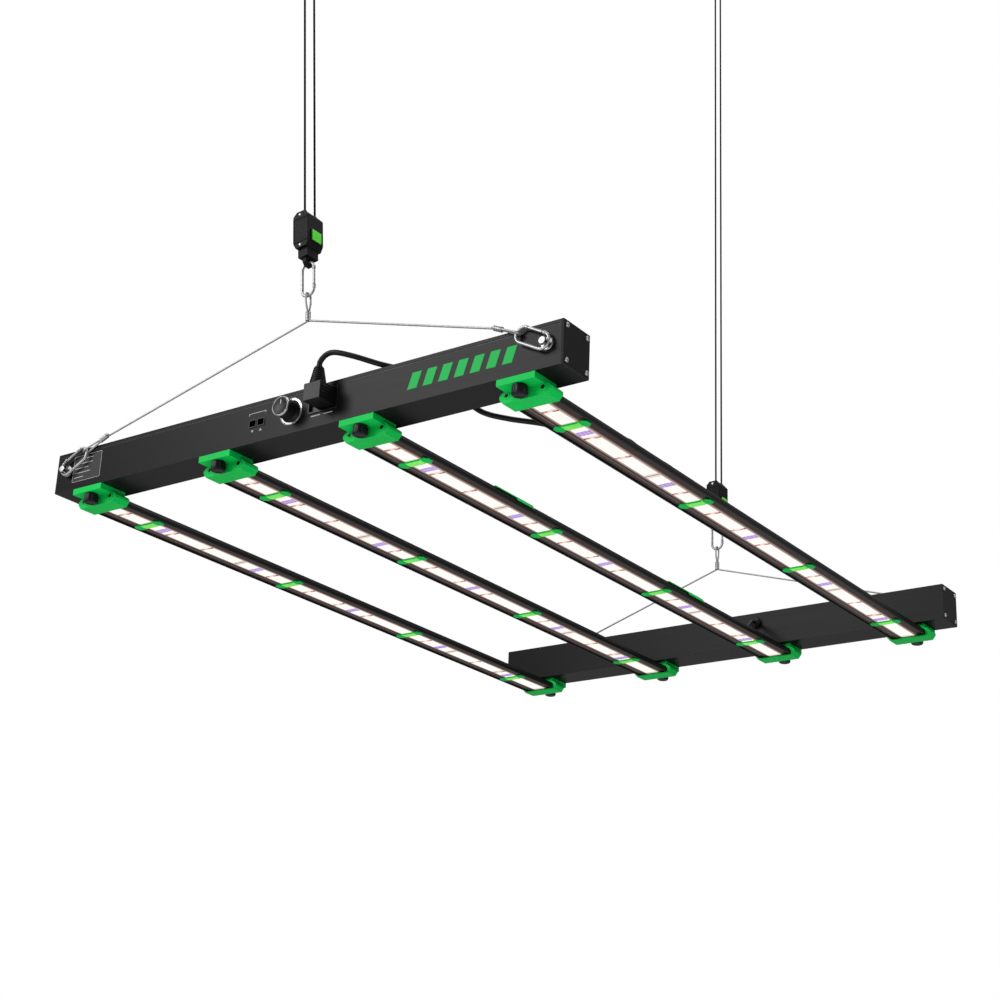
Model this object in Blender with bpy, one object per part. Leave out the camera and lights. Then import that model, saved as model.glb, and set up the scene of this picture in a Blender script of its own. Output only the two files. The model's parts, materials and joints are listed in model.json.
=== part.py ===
"""LED grow light: four light bars under two rails, hung from the ceiling by two rope ratchets.

Metres, +Z up. X runs along the rails, Y from the near rail (with the controls) to the far one.
The origin is on the ceiling, above the middle of the frame. Heights called z below are from the
rails' underside, and depths called dy run inwards from a rail's outer face."""

import math

import bmesh
import bpy
from mathutils import Matrix, Vector

NEAR = -1
FAR = 1
SIDE_NAME = {NEAR: "near", FAR: "far"}
END_NAME = {-1: "left", 1: "right"}
GAP = 0.0003
SHARP = math.radians(50)

# Frame
DROP = 1.400
SPAN = 1.144
RAIL_LENGTH = 0.840
RAIL_DEPTH = 0.055
RAIL_HEIGHT = 0.057
RAIL_WALL = 0.002
GROOVE_Z = 0.0517
CAP_THICKNESS = 0.0022
CAP_SCREW_INSET = 0.0065

# Light bars
BAR_X = (-0.3550, -0.1183, 0.1183, 0.3550)
BAR_START = 0.0222
BAR_TOP = -0.0090
BAR_BOTTOM = -0.0195
BAR_HALF = 0.0290
BAR_TOP_HALF = 0.0260
BOARD_HALF = 0.0150
BOARD_BOTTOM = -0.0176
BOARD_THICKNESS = 0.0016

# Brackets and their thumbscrews
FLANGE_HALF = 0.0270
FLANGE_DEPTH = 0.0445
FLANGE_BOTTOM = -0.0085
SHROUD_START = 0.0197
SHROUD_END = 0.0460
SHROUD_BOTTOM = -0.0218
THUMB_DEPTH = 0.0096
THUMB_RADIUS = 0.0097
THUMB_BOTTOM = -0.0225
THUMB_SHANK = 0.0025

# Controls on the near rail's outer face
DIMMER = (0.0100, 0.0300)
KNOB_RADIUS = 0.0135
KNOB_REACH = 0.0215
INLET = (0.0625, 0.0343)
INLET_SIZE = (0.0450, 0.0275)
PLUG_X = 0.0685
PLUG_Z = 0.0335
SOCKETS_X = (-0.0545, -0.0405)
SOCKET_Z = 0.0270

# Suspension
BOLT_X = 0.3983
BOLT_Z = 0.0294
HOOK_OFFSET = 0.0060
HOOK_LENGTH = 0.0540
HOOK_WIDTH = 0.0240
HOOK_WIRE = 0.0020
CABLE = 0.0014
JUNCTION_Z = {NEAR: 0.171, FAR: 0.157}
JUNCTION_DEPTH = 0.0275
LEAN = {NEAR: math.radians(-5.9), FAR: 0.0}
ROPE = 0.0015
ROPE_X = 0.0030
ROPE_HALF = 0.0100
CEILING_ROD = 0.0030
CEILING_HOOK_DROP = 0.0310
CUP_RADIUS = 0.0090

# Hooks, cables and ratchets. Heights on the chain count from where the two cables meet.
HOOK_PITCH = math.radians(28)
GATE_FOOT = 0.0130
GATE_TIP = 0.0120
PIVOT_GAP = 0.0012
FERRULE_X = 0.3300
FERRULE_Z = 0.0640
FERRULE_DEPTH = -0.0030
FERRULE_HALF = 0.0070
FERRULE_RADIUS = 0.0036
STRAND = 0.00165
EYE_HALF = 0.0042
EYE_WIDE = 0.0050
TOP_HOOK_FOOT = 0.0379
RATCHET_EYE = TOP_HOOK_FOOT + HOOK_LENGTH - 2 * HOOK_WIRE + 0.0008
RATCHET_BOTTOM = 0.0815
BLOCK_BOTTOM = 0.1080
BLOCK_HALF = 0.0130
BLOCK_HALF_DEPTH = 0.0150
RATCHET_TOP = 0.1610
BUTTON_Z = 0.1225
BUTTON_HALF_Y = 0.0085
BUTTON_HALF_Z = 0.0075
ROPE_HOLE_DEPTH = 0.0220

# Bolts through the rails' outer faces: how far out each part is, and its radius
WASHER = (0.0015, 0.0080)
BOLT_NECK = 0.0030
BOLT_HEAD = (0.0085, 0.0120, 0.0052)

# Holes
SCREW_HOLE = 0.0032
LEAD_HOLE = 0.0040
SHAFT_HOLE = 0.0040
SIDE_SCREW = (0.0254, -0.0125, 0.0022)

# Cords. Routes are chosen by hand, and their heights count from the rails' underside.
CORD = 0.0035
LEAD = 0.0030
ON_BAR = BAR_TOP + 0.0004
CORD_Z = BAR_TOP + CORD + 0.0005
LEAD_Z = BAR_TOP + LEAD + 0.0006
HANK_X = 0.3496
HANK_START = 0.2140
HANK_LENGTH = 0.2070
HANK_HALF = 0.0246
HANK_HEIGHT = 0.0146
SLEEVE_LENGTH = 0.0200
GRIP_LENGTH = 0.0340
GRIP_RADIUS = 0.0115


def rail_y(side, dy):
    """The Y of a point dy inside the outer face of the near or the far rail."""
    return side * (SPAN / 2 - dy)


# Where the link lead goes through the two rails' inner faces: X and z.
LEAD_GLANDS = {NEAR: (0.1183, 0.0300), FAR: (0.0908, 0.0380)}
LEAD_ROUTE = (
    (0.1183, rail_y(NEAR, 0.040), 0.0300),
    (0.1183, rail_y(NEAR, 0.064), 0.0300),
    (0.1183, rail_y(NEAR, 0.090), 0.0200),
    (0.1183, rail_y(NEAR, 0.120), 0.0030),
    (0.1183, rail_y(NEAR, 0.150), LEAD_Z + 0.0010),
    (0.1183, rail_y(NEAR, 0.180), LEAD_Z),
    (0.1183, -0.300, LEAD_Z),
    (0.1183, 0.000, LEAD_Z),
    (0.1183, 0.300, LEAD_Z),
    (0.1183, rail_y(FAR, 0.210), LEAD_Z),
    (0.1180, rail_y(FAR, 0.180), LEAD_Z + 0.0008),
    (0.1150, rail_y(FAR, 0.140), 0.0040),
    (0.1010, rail_y(FAR, 0.095), 0.0290),
    (0.0915, rail_y(FAR, 0.068), 0.0375),
    (0.0908, rail_y(FAR, 0.040), 0.0380),
)
CORD_ROUTE = (
    (0.0685, rail_y(NEAR, -0.0190), 0.0704),
    (0.0688, rail_y(NEAR, -0.0190), 0.0760),
    (0.0780, rail_y(NEAR, -0.0205), 0.0830),
    (0.0930, rail_y(NEAR, -0.0200), 0.0840),
    (0.1180, rail_y(NEAR, -0.0120), 0.0760),
    (0.1480, rail_y(NEAR, 0.0060), 0.0650),
    (0.1700, rail_y(NEAR, 0.0270), 0.0614),
    (0.1890, rail_y(NEAR, 0.0470), 0.0618),
    (0.2010, rail_y(NEAR, 0.0600), 0.0606),
    (0.2120, rail_y(NEAR, 0.0680), 0.0480),
    (0.2250, rail_y(NEAR, 0.0770), 0.0290),
    (0.2450, rail_y(NEAR, 0.0880), 0.0110),
    (0.2740, rail_y(NEAR, 0.1040), 0.0020),
    (0.3050, rail_y(NEAR, 0.1330), -0.0005),
    (0.3260, rail_y(NEAR, 0.1650), -0.0040),
    (0.3286, rail_y(NEAR, 0.1900), CORD_Z),
    (0.3286, rail_y(NEAR, 0.2200), CORD_Z),
)


def material(name, colour, roughness, metallic):
    made = bpy.data.materials.new(name)
    made.use_nodes = True
    shader = made.node_tree.nodes["Principled BSDF"]
    shader.inputs["Base Color"].default_value = (*colour, 1)
    shader.inputs["Roughness"].default_value = roughness
    shader.inputs["Metallic"].default_value = metallic
    return made


def prism(outline, axis, start, end):
    """A polygon pushed along an axis. Its points give the other two coordinates, in XYZ order."""
    shape = bmesh.new()
    rings = []
    for along in (start, end):
        ring = []
        for a, b in outline:
            point = {"X": (along, a, b), "Y": (a, along, b), "Z": (a, b, along)}[axis]
            ring.append(shape.verts.new(point))
        rings.append(ring)
    count = len(outline)
    shape.faces.new(rings[0])
    shape.faces.new(rings[1])
    for i in range(count):
        j = (i + 1) % count
        shape.faces.new((rings[0][i], rings[0][j], rings[1][j], rings[1][i]))
    bmesh.ops.recalc_face_normals(shape, faces=shape.faces)
    return shape


def rectangle(a0, a1, b0, b1):
    return [(a0, b0), (a1, b0), (a1, b1), (a0, b1)]


def block(low, high):
    return prism(rectangle(low[0], high[0], low[1], high[1]), "Z", low[2], high[2])


def polygon(centre, radius, sides, turn=0.5):
    """A regular polygon's points, turned by a part of one side."""
    points = []
    for i in range(sides):
        angle = 2 * math.pi * (i + turn) / sides
        x = centre[0] + radius * math.cos(angle)
        y = centre[1] + radius * math.sin(angle)
        points.append((x, y))
    return points


def turned(profile, sides, lobes=0.0):
    """A shape turned about Z from (z, radius) pairs. Every second point is pulled in by lobes."""
    shape = bmesh.new()
    rings = []
    for z, radius in profile:
        ring = []
        for i in range(sides):
            angle = 2 * math.pi * i / sides
            r = radius * (1 - lobes * (i % 2) * (radius > 2 * THUMB_SHANK))
            ring.append(shape.verts.new((r * math.cos(angle), r * math.sin(angle), z)))
        rings.append(ring)
    shape.faces.new(rings[0])
    shape.faces.new(rings[-1])
    for low, high in zip(rings, rings[1:]):
        for i in range(sides):
            j = (i + 1) % sides
            shape.faces.new((low[i], low[j], high[j], high[i]))
    bmesh.ops.recalc_face_normals(shape, faces=shape.faces)
    return shape


def tube(points, radius, sides):
    """A round tube along points, with flat ends. Its rings don't twist along the way."""
    points = [Vector(p) for p in points]
    steps = [(b - a).normalized() for a, b in zip(points, points[1:])]
    tangents = [steps[0]]
    for before, after in zip(steps, steps[1:]):
        tangents.append((before + after).normalized())
    tangents.append(steps[-1])
    across = tangents[0].orthogonal().normalized()
    shape = bmesh.new()
    rings = []
    for index, (point, tangent) in enumerate(zip(points, tangents)):
        across = (across - tangent * across.dot(tangent)).normalized()
        other = tangent.cross(across)
        step = steps[min(index, len(steps) - 1)]
        wide = radius / max(0.5, tangent.dot(step))
        ring = []
        for i in range(sides):
            angle = 2 * math.pi * (i + 0.5) / sides
            offset = across * math.cos(angle) + other * math.sin(angle)
            ring.append(shape.verts.new(point + offset * wide))
        rings.append(ring)
    shape.faces.new(rings[0])
    shape.faces.new(rings[-1])
    for low, high in zip(rings, rings[1:]):
        for i in range(sides):
            j = (i + 1) % sides
            shape.faces.new((low[i], low[j], high[j], high[i]))
    bmesh.ops.recalc_face_normals(shape, faces=shape.faces)
    return shape


def smooth_line(route, spacing):
    """Points read from a smooth curve through the route, about one per spacing."""
    route = [Vector(p) for p in route]
    ends = [2 * route[0] - route[1]] + route + [2 * route[-1] - route[-2]]
    points = [route[0]]
    for before, a, b, after in zip(ends, ends[1:], ends[2:], ends[3:]):
        count = max(1, round((b - a).length / spacing))
        for i in range(1, count + 1):
            t = i / count
            bend = (2 * before - 5 * a + 4 * b - after) * t * t
            twist = (3 * a - before - 3 * b + after) * t**3
            points.append(0.5 * (2 * a + (b - before) * t + bend + twist))
    return points


def place(name, shape, paint, pivot=(0, 0, 0), matrix=None, rounded=False):
    """Makes a named object from shape, whose own origin is at pivot. pivot counts z from the rails.
    A rounded one is shaded smooth between its sharp edges."""
    if matrix is not None:
        shape.transform(matrix)
    origin = Vector(pivot)
    shape.transform(Matrix.Translation(-origin))
    mesh = bpy.data.meshes.new(name)
    shape.to_mesh(mesh)
    shape.free()
    if rounded:
        mesh.shade_smooth()
        mesh.set_sharp_from_angle(angle=SHARP)
    if paint is not None:
        mesh.materials.append(paint)
    made = bpy.data.objects.new(name, mesh)
    made.location = origin + Vector((0, 0, -DROP))
    bpy.context.collection.objects.link(made)
    return made


def combine(target, operation, shapes, matrix=None):
    """Adds one Boolean per shape to target, each from its own hidden helper."""
    for index, shape in enumerate(shapes):
        name = f"{target.name}_{operation.lower()}_{index + 1}"
        helper = place(name, shape, None, matrix=matrix)
        helper.hide_render = True
        helper.display_type = "WIRE"
        modifier = target.modifiers.new(name, "BOOLEAN")
        modifier.operation = operation
        modifier.solver = "EXACT"
        modifier.object = helper


def cord(name, points, radius, paint, resolution=2):
    """A flexible cord as a bevelled curve, with its ends filled."""
    curve = bpy.data.curves.new(name, "CURVE")
    curve.dimensions = "3D"
    curve.bevel_depth = radius
    curve.bevel_resolution = resolution
    curve.use_fill_caps = True
    line = curve.splines.new("POLY")
    line.points.add(len(points) - 1)
    for target, point in zip(line.points, points):
        target.co = (*point, 1)
    curve.materials.append(paint)
    made = bpy.data.objects.new(name, curve)
    made.location = (0, 0, -DROP)
    bpy.context.collection.objects.link(made)
    return made


def mirrored(shape, end):
    """The shape as it is for the right end, and its mirror image for the left one."""
    if end < 0:
        shape.transform(Matrix.Scale(-1, 4, (1, 0, 0)))
        bmesh.ops.recalc_face_normals(shape, faces=shape.faces)
    return shape


def along_y(x, y, z):
    """The matrix that lays a shape turned about Z along +Y, with its origin at the point."""
    return Matrix.Translation((x, y, z)) @ Matrix.Rotation(-math.pi / 2, 4, "X")


def flipped_y(x, y, z):
    """As along_y, but towards -Y."""
    return Matrix.Translation((x, y, z)) @ Matrix.Rotation(math.pi / 2, 4, "X")


def rail_outline(side, wall):
    """The rail's section, or its hollow's when wall isn't 0. The outer face has a narrow groove."""
    outer = wall
    inner = RAIL_DEPTH - wall
    points = [(outer, wall)]
    if not wall:
        points.append((outer, GROOVE_Z - 0.0007))
        points.append((outer + 0.0008, GROOVE_Z - 0.0007))
        points.append((outer + 0.0008, GROOVE_Z + 0.0007))
        points.append((outer, GROOVE_Z + 0.0007))
    points.append((outer, RAIL_HEIGHT - wall))
    points.append((inner, RAIL_HEIGHT - wall))
    points.append((inner, wall))
    return [(rail_y(side, dy), z) for dy, z in points]


def make_rail(side, paint):
    """A hollow rail with its two hanger bolts. The far rail's ends are closed by welded plates."""
    half = RAIL_LENGTH / 2
    if side == NEAR:
        half -= CAP_THICKNESS + GAP
        hollow = half + 0.01
    else:
        hollow = half - CAP_THICKNESS
    rail = place(f"{SIDE_NAME[side]}_rail", prism(rail_outline(side, 0), "X", -half, half), paint)
    cuts = [prism(rail_outline(side, RAIL_WALL), "X", -hollow, hollow)]
    for x in BAR_X:
        hole = polygon((x, rail_y(side, THUMB_DEPTH)), SCREW_HOLE, 12)
        cuts.append(prism(hole, "Z", -0.002, 0.004))
    gland_x, gland_z = LEAD_GLANDS[side]
    ends = sorted((rail_y(side, RAIL_DEPTH - 0.004), rail_y(side, RAIL_DEPTH + 0.002)))
    cuts.append(prism(polygon((gland_x, gland_z), LEAD_HOLE, 12), "Y", *ends))
    if side == NEAR:
        ends = (rail_y(side, -0.002), rail_y(side, 0.004))
        cuts.append(prism(polygon(DIMMER, SHAFT_HOLE, 12), "Y", *ends))
        wide, high = INLET_SIZE[0] / 2 + GAP, INLET_SIZE[1] / 2 + GAP
        x, z = INLET
        cuts.append(prism(rectangle(x - wide, x + wide, z - high, z + high), "Y", *ends))
        for x in SOCKETS_X:
            z = SOCKET_Z
            cuts.append(prism(rectangle(x - 0.006, x + 0.006, z - 0.005, z + 0.005), "Y", *ends))
    combine(rail, "DIFFERENCE", cuts)
    bolts = []
    for x in (-BOLT_X, BOLT_X):
        bolt = turned(
            [
                (-BOLT_HEAD[1], BOLT_HEAD[2]),
                (-BOLT_HEAD[0], BOLT_HEAD[2]),
                (-BOLT_HEAD[0], BOLT_NECK),
                (-WASHER[0], BOLT_NECK),
                (-WASHER[0], WASHER[1]),
                (0.0005, WASHER[1]),
                (0.0005, BOLT_NECK),
                (0.0080, BOLT_NECK),
            ],
            12,
        )
        bolt.transform(along_y(x, 0, BOLT_Z) if side == NEAR else flipped_y(x, 0, BOLT_Z))
        bmesh.ops.translate(bolt, verts=bolt.verts, vec=(0, rail_y(side, 0), 0))
        bolts.append(bolt)
    combine(rail, "UNION", bolts)
    return rail


def make_cap(end, paint):
    """An end plate of the near rail, held by four screws in its corners."""
    half = RAIL_LENGTH / 2
    low = (half - CAP_THICKNESS, rail_y(NEAR, 0), 0)
    high = (half, rail_y(NEAR, RAIL_DEPTH), RAIL_HEIGHT)
    cap = place(f"near_rail_cap_{END_NAME[end]}", mirrored(block(low, high), end), paint)
    screws = []
    for dy in (CAP_SCREW_INSET, RAIL_DEPTH - CAP_SCREW_INSET):
        for z in (CAP_SCREW_INSET, RAIL_HEIGHT - CAP_SCREW_INSET):
            head = polygon((rail_y(NEAR, dy), z), 0.0034, 10)
            screws.append(mirrored(prism(head, "X", half - 0.001, half + 0.0014), end))
    combine(cap, "UNION", screws)
    return cap


def make_bar(index, paint):
    """A light bar: a flat hollow aluminium section with a shallow channel for its LED board."""
    x = BAR_X[index]
    half = [
        (BAR_HALF, BAR_BOTTOM),
        (BAR_HALF + 0.0002, BAR_BOTTOM + 0.0051),
        (BAR_HALF - 0.0012, BAR_BOTTOM + 0.0056),
        (BAR_TOP_HALF, BAR_TOP),
    ]
    under = [
        (BAR_HALF - 0.0020, BAR_BOTTOM),
        (BAR_HALF - 0.0020, BAR_BOTTOM + 0.0025),
        (BOARD_HALF + GAP, BAR_BOTTOM + 0.0025),
        (BOARD_HALF + GAP, BOARD_BOTTOM + BOARD_THICKNESS + GAP),
    ]
    right = list(reversed(under)) + half
    left = [(-a, z) for a, z in reversed(right)]
    outline = [(x + a, z) for a, z in right + left]
    ends = (rail_y(NEAR, BAR_START), rail_y(FAR, BAR_START))
    bar = place(f"light_bar_{index + 1}", prism(outline, "Y", *ends), paint)
    hollow = rectangle(x - 0.0235, x + 0.0235, BAR_BOTTOM + 0.0052, BAR_TOP - 0.0014)
    combine(bar, "DIFFERENCE", [prism(hollow, "Y", ends[0] - 0.01, ends[1] + 0.01)])
    return bar


def make_board(index, paint):
    x = BAR_X[index]
    low = (x - BOARD_HALF, rail_y(NEAR, BAR_START + 0.002), BOARD_BOTTOM)
    high = (x + BOARD_HALF, rail_y(FAR, BAR_START + 0.002), BOARD_BOTTOM + BOARD_THICKNESS)
    return place(f"led_board_{index + 1}", block(low, high), paint)


def make_bracket(index, side, paint):
    """A bracket: a flange under the rail, and a shroud that the end of the bar slides into."""
    x = BAR_X[index]

    def y(dy):
        return rail_y(side, dy)

    low, high = sorted((y(0), y(FLANGE_DEPTH)))
    flange = block((x - FLANGE_HALF, low, FLANGE_BOTTOM), (x + FLANGE_HALF, high, -GAP))
    bracket = place(f"bracket_{SIDE_NAME[side]}_{index + 1}", flange, paint)
    half = [(0.0270, -0.0060), (0.0330, -0.0090), (0.0360, -0.0120), (0.0360, -0.0155)]
    half.append((0.0310, SHROUD_BOTTOM))
    outline = [(x + a, z) for a, z in half] + [(x - a, z) for a, z in reversed(half)]
    combine(bracket, "UNION", [prism(outline, "Y", *sorted((y(SHROUD_START), y(SHROUD_END))))])
    room = [(0.0296, -0.0198), (0.0296, -0.0136), (0.0266, -0.0087)]
    outline = [(x + a, z) for a, z in room] + [(x - a, z) for a, z in reversed(room)]
    cuts = [prism(outline, "Y", *sorted((y(BAR_START - GAP), y(SHROUD_END + 0.001))))]
    hole = polygon((x, y(THUMB_DEPTH)), SCREW_HOLE, 12)
    cuts.append(prism(hole, "Z", -0.010, 0.001))
    across, height, radius = SIDE_SCREW
    for offset in (-across, across):
        hole = polygon((x + offset, height), radius, 10)
        ends = sorted((y(SHROUD_START - 0.001), y(BAR_START + 0.001)))
        cuts.append(prism(hole, "Y", *ends))
    combine(bracket, "DIFFERENCE", cuts)
    return bracket


def make_thumbscrew(index, side, paint):
    """A thumbscrew: a lobed knob under the flange, and a shank that goes up into the rail."""
    top = FLANGE_BOTTOM - GAP
    profile = [
        (THUMB_BOTTOM, 0.0078),
        (THUMB_BOTTOM + 0.0014, THUMB_RADIUS),
        (top - 0.0030, THUMB_RADIUS),
        (top - 0.0004, 0.0070),
        (top, 0.0060),
        (top, THUMB_SHANK),
        (0.0075, THUMB_SHANK),
    ]
    pivot = (BAR_X[index], rail_y(side, THUMB_DEPTH), 0)
    name = f"thumbscrew_{SIDE_NAME[side]}_{index + 1}"
    shape = turned(profile, 16, lobes=0.09)
    return place(name, shape, paint, pivot, Matrix.Translation(pivot), rounded=True)


def make_dimmer_knob(paint):
    """The dimmer's knob, with its shaft through the rail's face. It is turned about Y."""
    profile = [
        (-KNOB_REACH, KNOB_RADIUS - 0.0012),
        (-KNOB_REACH + 0.0008, KNOB_RADIUS - 0.0002),
        (-0.0035, KNOB_RADIUS),
        (-0.0018, KNOB_RADIUS + 0.0015),
        (-0.0013, KNOB_RADIUS + 0.0015),
        (-0.0013, 0.0030),
        (0.0140, 0.0030),
    ]
    pivot = (DIMMER[0], rail_y(NEAR, 0), DIMMER[1])
    return place("dimmer_knob", turned(profile, 24), paint, pivot, along_y(*pivot), rounded=True)


def chamfered(cx, cz, wide, high, corner):
    """An appliance coupler's section: a rectangle whose two upper corners are cut off."""
    right = cx + wide / 2
    left = cx - wide / 2
    top = cz + high / 2
    low = cz - high / 2
    return [
        (left, low),
        (right, low),
        (right, top - corner),
        (right - corner, top),
        (left + corner, top),
        (left, top - corner),
    ]


def blades(grow, start, end):
    """The coupler's three pins as prisms along Y."""
    made = []
    for dx, dz in ((-0.007, -0.002), (0.007, -0.002), (0, 0.002)):
        x, z = PLUG_X + dx, PLUG_Z + dz
        wide, high = 0.001 + grow, 0.002 + grow
        outline = rectangle(x - wide, x + wide, z - high, z + high)
        made.append(prism(outline, "Y", rail_y(NEAR, start), rail_y(NEAR, end)))
    return made


def make_inlet(paint):
    """The power inlet behind the rail's face, with its recess and three pins."""
    wide, high = INLET_SIZE[0] / 2, INLET_SIZE[1] / 2
    x, z = INLET
    low = (x - wide, rail_y(NEAR, 0.0002), z - high)
    inlet = place("power_inlet", block(low, (x + wide, rail_y(NEAR, 0.026), z + high)), paint)
    rim = rectangle(x - wide + 0.0016, x + wide - 0.0016, z - high + 0.0016, z + high - 0.0016)
    ends = (rail_y(NEAR, -0.001), rail_y(NEAR, 0.0030))
    recess = chamfered(PLUG_X, PLUG_Z, 0.0246, 0.0166, 0.004)
    cuts = [prism(rim, "Y", *ends)]
    cuts.append(prism(recess, "Y", rail_y(NEAR, -0.001), rail_y(NEAR, 0.0205)))
    combine(inlet, "DIFFERENCE", cuts)
    combine(inlet, "UNION", blades(0, 0.0055, 0.0225))
    return inlet


def make_power_plug(paint):
    """The cord's right-angled connector: its nose in the inlet, its ribbed sleeve upwards."""
    nose = prism(
        chamfered(PLUG_X, PLUG_Z, 0.0240, 0.0160, 0.004),
        "Y",
        rail_y(NEAR, -0.010),
        rail_y(NEAR, 0.0190),
    )
    plug = place("power_plug", nose, paint, pivot=(PLUG_X, rail_y(NEAR, 0), PLUG_Z))
    body = rectangle(PLUG_X - 0.0132, PLUG_X + 0.0132, PLUG_Z - 0.0105, PLUG_Z + 0.0125)
    body = prism(body, "Y", rail_y(NEAR, -0.0295), rail_y(NEAR, 0.0024))
    sleeve = turned([(0.0440, 0.0100), (0.0480, 0.0100), (0.0700, 0.0055)], 12)
    sleeve.transform(Matrix.Translation((PLUG_X, rail_y(NEAR, -0.0190), 0)))
    combine(plug, "UNION", [body, sleeve])
    combine(plug, "DIFFERENCE", blades(0.0004, 0.0040, 0.0200))
    return plug


def make_clip(name, low, high, tab, inner_tab, paint):
    """A saddle over a bar that holds the link lead on it. Its side tabs cover part of its length."""
    x = BAR_X[2]
    side = BAR_HALF + 0.0002 + GAP
    top = BAR_TOP + GAP
    wall = 0.0013
    crown = LEAD + GAP
    inside = [
        (side, BAR_BOTTOM + 0.0062),
        (BAR_TOP_HALF + 0.0006, top),
        (crown + 0.0012, top),
        (crown, top + 0.0012),
        (crown, top + 2 * LEAD + GAP),
    ]
    outside = [
        (side + wall, BAR_BOTTOM + 0.0062),
        (BAR_TOP_HALF + 0.0010, top + wall),
        (crown + wall, top + wall),
        (crown + wall, top + 2 * LEAD + GAP + wall),
    ]
    right = inside + [(-a, z) for a, z in reversed(inside)]
    left = [(-a, z) for a, z in outside] + list(reversed(outside))
    outline = [(x + a, z) for a, z in right + left]
    clip = place(name, prism(outline, "Y", low, high), paint)
    below = BAR_BOTTOM
    above = BAR_TOP + GAP - 0.0005
    cuts = []
    for start, end in ((low - 0.001, tab[0]), (tab[1], high + 0.001)):
        if end - start > 0.002:
            cuts.append(block((x + 0.020, start, below), (x + 0.035, end, above)))
    for start, end in ((low - 0.001, inner_tab[0]), (inner_tab[1], high + 0.001)):
        if end - start > 0.002:
            cuts.append(block((x - 0.035, start, below), (x - 0.020, end, above)))
    combine(clip, "DIFFERENCE", cuts)
    return clip


def hook_points(length, width, start, end):
    """The centre line of an oval snap hook: up local Z from 0, open on +X from start to end."""
    r = width / 2
    points = [(r, 0, start)]
    for i in range(9):
        angle = -math.pi * i / 8
        points.append((r * math.cos(angle), 0, r + r * math.sin(angle)))
    for i in range(9):
        angle = math.pi - math.pi * i / 8
        points.append((r * math.cos(angle), 0, length - r + r * math.sin(angle)))
    points.append((r, 0, end))
    return points


def make_hook(name, gate_name, matrix, paint):
    """A snap hook in the local XZ plane, its lowest point at the local origin, and its gate."""
    length = HOOK_LENGTH - 2 * HOOK_WIRE
    width = HOOK_WIDTH - 2 * HOOK_WIRE
    start, end = GATE_FOOT, length - GATE_TIP
    wire = tube(hook_points(length, width, start, end), HOOK_WIRE, 8)
    hook = place(name, wire, paint, matrix=matrix, rounded=True)
    foot = (width / 2, 0, start + PIVOT_GAP)
    line = [foot, (width / 2, 0, end - GAP)]
    wire = tube(line, HOOK_WIRE * 0.95, 8)
    gate = place(gate_name, wire, paint, matrix @ Vector(foot), matrix, rounded=True)
    return [hook, gate]


def chain_matrix(side):
    """The frame of one rope and the hardware under it: its origin is where the two cables meet."""
    origin = (0, rail_y(side, JUNCTION_DEPTH), JUNCTION_Z[side])
    return Matrix.Translation(origin) @ Matrix.Rotation(LEAN[side], 4, "Y")


def rail_hook_matrix(side, end):
    """A rail hook hangs round its bolt and points up along the cable, beside the rail's face."""
    up = Vector((-math.cos(HOOK_PITCH) * end, 0, math.sin(HOOK_PITCH)))
    bolt = Vector((BOLT_X * end, rail_y(side, -HOOK_OFFSET), BOLT_Z))
    foot = bolt - up * (BOLT_NECK + GAP + HOOK_WIRE)
    across = Vector((up.z * end, 0, -up.x * end))
    normal = up.cross(across)
    turn = Matrix((across, normal, up)).transposed().to_4x4()
    return Matrix.Translation(foot) @ turn


def cable_end(side, end):
    """One end of the cable from its tail to where it leaves the ferrule, and the ferrule's line."""
    matrix = rail_hook_matrix(side, end)
    inside = HOOK_LENGTH - 2 * HOOK_WIRE - HOOK_WIRE - CABLE - GAP
    foot = matrix @ Vector((0, 0, inside))
    centre = Vector((FERRULE_X * end, rail_y(side, FERRULE_DEPTH), FERRULE_Z))
    up = (centre - foot).normalized()
    out = Vector((0, -side, 0))
    out = (out - up * out.dot(up)).normalized() * -1
    r = EYE_HALF
    points = []
    for along, off in (
        (FERRULE_HALF * -0.6, STRAND),
        (FERRULE_HALF, STRAND),
    ):
        points.append(centre - up * along + out * off)
    base = foot + up * r
    for i in range(7):
        angle = math.pi * i / 6
        points.append(base + out * (r * math.cos(angle)) - up * (r * math.sin(angle)))
    for along, off in ((FERRULE_HALF, -STRAND), (-FERRULE_HALF, -STRAND)):
        points.append(centre - up * along + out * off)
    ferrule = (centre - up * FERRULE_HALF, centre + up * FERRULE_HALF)
    return points, ferrule


def make_hanger(side, paint):
    """The steel cable from one rail hook to the other, crimped into an eye in its middle."""
    matrix = chain_matrix(side)
    left, left_ferrule = cable_end(side, -1)
    right, right_ferrule = cable_end(side, 1)
    eye = []
    for i in range(4):
        angle = math.pi - math.radians(30 * i)
        x, y = STRAND * math.cos(angle), -STRAND * math.sin(angle)
        eye.append((x, y, 0.0140 * i / 3))
    for y, z in ((-0.0046, 0.0270), (-EYE_WIDE, 0.0360)):
        eye.append((0, y, z))
    for i in range(1, 6):
        angle = math.pi - math.pi * i / 6
        eye.append((0, EYE_WIDE * math.cos(angle), 0.0366 + EYE_WIDE * math.sin(angle)))
    eye += [(-x, -y, z) for x, y, z in reversed(eye[:6])]
    top = [matrix @ Vector(p) for p in eye]
    path = left + top + list(reversed(right))
    name = f"hanger_cable_{SIDE_NAME[side]}"
    hanger = place(name, tube(path, CABLE, 6), paint, rounded=True)
    ferrules = [tube(line, FERRULE_RADIUS, 10) for line in (left_ferrule, right_ferrule)]
    middle = [matrix @ Vector((0, 0, z)) for z in (-0.0002, 0.0142)]
    ferrules.append(tube(middle, FERRULE_RADIUS, 10))
    combine(hanger, "UNION", ferrules)
    return hanger


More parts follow.
